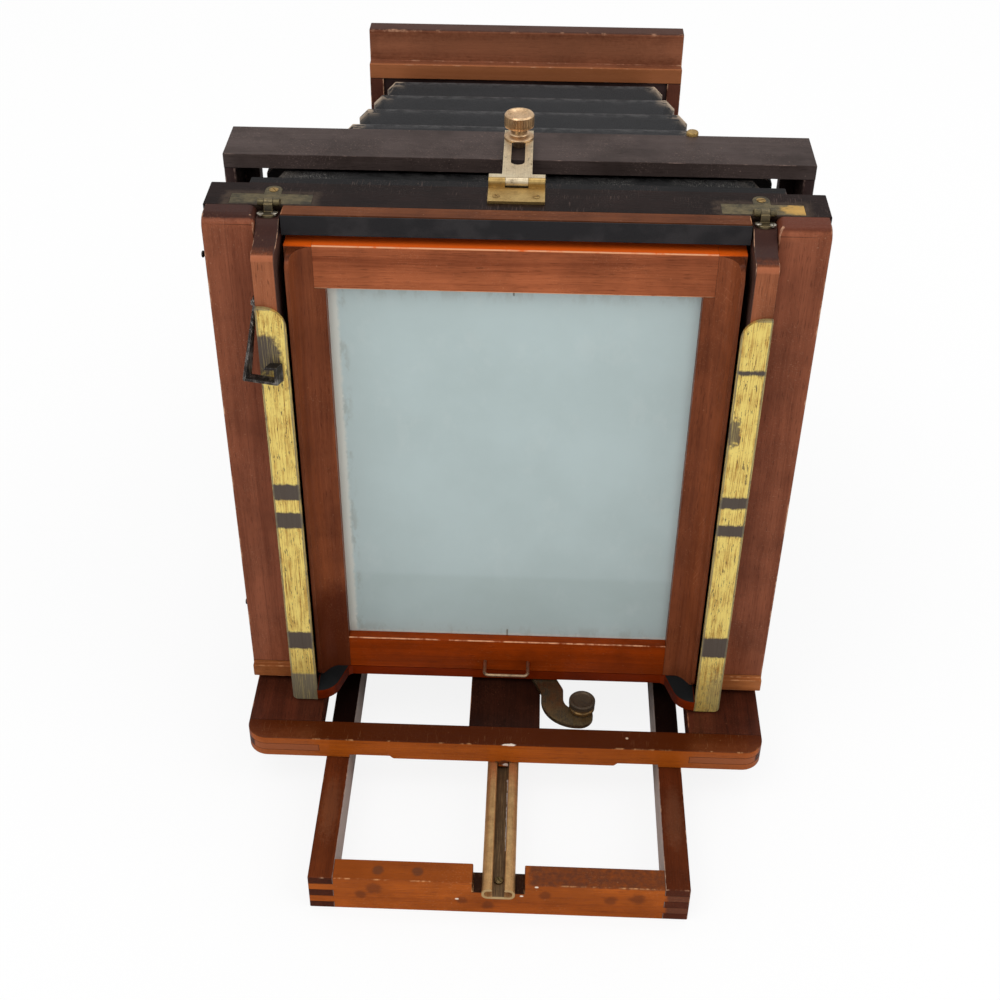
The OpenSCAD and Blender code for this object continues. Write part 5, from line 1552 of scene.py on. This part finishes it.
@dataclass
class Bellows(Assembly):
    """A pleated leather tube between two boards, with its corners cut.

    The numbers of bend round each fold: what is added under the root, and the root's lowest
    value and span, which bring the result back to 0 and 1.
    """

    name: str = "bellows"
    node: str = "bellows_front"
    bodies: tuple[str, str] = ("carriage", "bed")
    front: Ring | None = Ring(97, 97, 191)
    finish: Leather = Leather("leather")
    pleats: int = 7
    depth: float = 9.0
    corner: float = 6.0
    leather: float = 1.2
    steps: int = 10
    side_steps: int = 24
    corner_steps: int = 3
    corner_wear: float = 1.0
    corner_inset: float = 0.586
    corner_reach: float = 1.3
    crest_spread: float = 0.16
    corner_spread: float = 0.22
    bend: tuple[float, float, float] = (0.012, 0.11, 0.896)
    slack_size: float = 130.0

    def outline(self, width: np.ndarray, height: np.ndarray, cut: np.ndarray) -> np.ndarray:
        """Points round the eight-sided section at every row.

        Each side is a straight line between two corners, split into equal steps.
        """
        w, h, c = width[:, None], height[:, None], cut[:, None]
        right = [(w - c, -h), (w, c - h), (w, h - c), (w - c, h)]
        corners = right + [(-x, y) for x, y in right[::-1]]
        rows = []
        for number, (a, b) in enumerate(zip(corners, corners[1:] + corners[:1])):
            steps = self.side_steps if number % 2 else self.corner_steps
            share = np.arange(steps)[None, :] / steps
            rows.append(np.stack([between(a[0], b[0], share), between(a[1], b[1], share)], -1))
        return np.concatenate(rows, 1)

    def build(self) -> None:
        """Pleats the leather: its size falls from each crest by depth times the bent distance from it."""
        start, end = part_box(self.node)
        crest = Ring(mm(end.x), mm(end.z - start.z) / 2, mm(end.z + start.z) / 2)
        front = self.front or crest
        rear = crest.carried_back(front, 1 / (2 * self.pleats))
        along = np.linspace(0, 1, 2 * self.pleats * self.steps + 1)
        phase = along * 2 * self.pleats
        away = np.abs((phase % 2) - 1)
        bend, least, span = self.bend
        fold = np.clip((np.sqrt(away**2 + bend) - least) / span, 0, 1)
        sizes = (between(*pair, along) for pair in zip(astuple(rear), astuple(front)))
        width, height, middle = (size - drop for size, drop in zip(sizes, (*(self.depth * fold,) * 2, 0)))
        cut = self.corner - 2.0 * fold
        y = between(mm(start.y), mm(end.y), along)
        skins = []
        for inset in (0.0, self.leather):
            section = self.outline(width - inset, height - inset, cut - self.corner_inset * inset)
            shrink = 1 - self.slack(section, phase, away) / self.slack_size
            x, z = section[..., 0] * shrink, section[..., 1] * shrink + middle[:, None]
            skins.append(np.stack([x, np.broadcast_to(y[:, None], x.shape), z], -1) * MM)
        # The crest mark, which the leather lightens as wear and as a painted highlight.
        crests = np.broadcast_to(np.exp(-((away / self.crest_spread) ** 2))[:, None], x.shape)
        sides, reach = (width[:, None], height[:, None]), self.corner * self.corner_reach
        near = [np.abs(section[..., i]) > side - reach for i, side in enumerate(sides)]
        worn = self.corner_wear * np.exp(-((away / self.corner_spread) ** 2))[:, None]
        corners = np.where(near[0] & near[1], worn, 0)
        marks = {
            key: np.concatenate([values, 0 * values[::-1]])
            for key, values in (("crest", crests), ("corner", corners))
        }
        finish = replace(self.finish, name=self.name).material()
        piece = shaped(self.name, [np.concatenate([skins[0], skins[1][::-1]])], finish, (True, True), marks)
        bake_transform(piece)
        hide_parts(self.node)
        log.info("%s bends between %s and %s", self.name, *self.bodies)

    def slack(self, section: np.ndarray, phase: np.ndarray, away: np.ndarray) -> np.ndarray:
        """How much the leather sags between its crests: slow waves that vanish at the folds."""
        turn = phase[:, None]
        wave = 0.5 * np.sin(section[..., 0] * 0.045 + turn * 1.9) * np.cos(section[..., 1] * 0.05 + turn)
        return wave * np.sin(np.clip(away, 0, 1) * math.pi)[:, None]


# ---------------------------------------------------------------------------- studio
@dataclass
class Studio:
    """The pale floor, the soft lights and the camera behind and above the object."""

    eye: Place = (0.0100, -0.8506, 0.7380)
    yaw: float = -2.22
    pitch: float = 38.63
    roll: float = 0.24
    lens: float = 55.36
    shift: tuple[float, float] = (0.0205, 0.0254)
    floor_size: float = 6.0
    world_light: float = 0.75
    shadow_share: float = 0.13
    floor_gloss: float = 0.62
    gloss_light: float = 0.55
    sensor: float = 36.0
    lamps: tuple[tuple[str, Place, float, float], ...] = (
        ("key", (-0.9, -1.1, 2.2), 1.6, 16.0),
        ("fill", (1.4, -0.4, 1.6), 1.4, 8.0),
        ("front", (0.2, 0.9, 2.3), 1.2, 8.0),
    )

    def build(self) -> None:
        """Makes the floor, the world, the lamps and the camera."""
        self.floor()
        self.world()
        for lamp in self.lamps:
            self.lamp(*lamp)
        self.camera()

    def floor(self) -> None:
        """A plain floor under the bed that the camera sees nearly white, shadows kept."""
        span = np.linspace(-self.floor_size / 2, self.floor_size / 2, 3)
        grid = np.stack(np.meshgrid(span, span, [CAD_BOX[0].z - 0.0002], indexing="ij"), -1)[:, :, 0]
        tree = Tree("floor")
        path = tree.node("ShaderNodeLightPath")
        glossy = Sock(tree, path.link.node.outputs["Is Glossy Ray"])
        paint = tree.blend(glossy, (0.9, 0.9, 0.9, 1.0), (self.floor_gloss,) * 3 + (1.0,))
        cloth = tree.node("ShaderNodeBsdfDiffuse", {}, {"Color": paint})
        glow = tree.node("ShaderNodeEmission", {}, {"Color": WHITE, "Strength": 1.0})
        share = path * (1 - self.shadow_share)
        mixed = tree.node("ShaderNodeMixShader", {}, {0: share, 1: cloth, 2: glow})
        tree.node("ShaderNodeOutputMaterial", {}, {"Surface": mixed})
        shaped("floor", [grid], tree.material)

    def world(self) -> None:
        """A white surround for the camera, the glosses and the glass, and a softer one for light."""
        world = bpy.data.worlds.new("surround")
        world.use_nodes = True
        bpy.context.scene.world = world
        tree = Tree.__new__(Tree)
        tree.graph = world.node_tree
        tree.graph.nodes.clear()
        seen = tree.node("ShaderNodeLightPath")
        gloss = Sock(tree, seen.link.node.outputs["Is Glossy Ray"])
        through = Sock(tree, seen.link.node.outputs["Is Transmission Ray"])
        white = seen.most(through)
        base = self.world_light
        strength = white * (1 - base) + gloss * (self.gloss_light - base) + base
        values = {"Color": WHITE, "Strength": strength}
        tree.node("ShaderNodeOutputWorld", {}, {"Surface": tree.node("ShaderNodeBackground", {}, values)})

    def lamp(self, name: str, place: Place, size: float, power: float) -> None:
        """A large square lamp that faces the middle of the object."""
        data = bpy.data.lights.new(name, "AREA")
        data.size = size
        data.energy = power
        made = linked(name, data)
        middle = (CAD_BOX[0] + CAD_BOX[1]) / 2
        made.location = place
        made.rotation_euler = (middle - Vector(place)).to_track_quat("-Z", "Y").to_euler()

    def camera(self) -> None:
        """The camera: turned by yaw, tipped down by pitch and rolled by a hair."""
        data = bpy.data.cameras.new("camera")
        data.lens, data.sensor_width = self.lens, self.sensor
        data.shift_x, data.shift_y = self.shift
        data.clip_start, data.clip_end = 0.01, 50
        made = linked("camera", data)
        yaw, pitch, roll = (math.radians(a) for a in (self.yaw, self.pitch, self.roll))
        ahead = Vector((math.sin(yaw) * math.cos(pitch), math.cos(yaw) * math.cos(pitch), -math.sin(pitch)))
        right = Vector((math.cos(yaw), -math.sin(yaw), 0))
        up = right.cross(ahead)
        side = right * math.cos(roll) + up * math.sin(roll)
        above = up * math.cos(roll) - right * math.sin(roll)
        turn = Matrix((side, above, -ahead)).transposed().to_4x4()
        made.matrix_world = Matrix.Translation(self.eye) @ turn
        bpy.context.scene.camera = made
        bpy.context.scene.view_settings.view_transform = "Standard"


def main() -> None:
    """Builds the sub-assemblies in order, then the studio."""
    logging.basicConfig(level=logging.INFO, format="%(message)s")
    old_leather = Leather("old_leather", tone(17, 17, 18), tone(36, 35, 35), scratched=0.25)
    rear_bellows = Bellows(
        name="rear_bellows", node="bellows_rear", bodies=("back", "carriage"), front=None,
        finish=old_leather, pleats=2, corner_wear=0.15,
    )
    assemblies = (
        Bed(), FrontStandard(), RisingFront(), Carriage(), ClampLever(), Back(), StrapAndScrew(), Cradle(),
        Screen(), Latch(), Bellows(name="front_bellows"), rear_bellows, Studio(),
    )
    for assembly in assemblies:
        log.info("building %s", type(assembly).__name__)
        assembly.build()


if __name__ == "__main__":
    main()
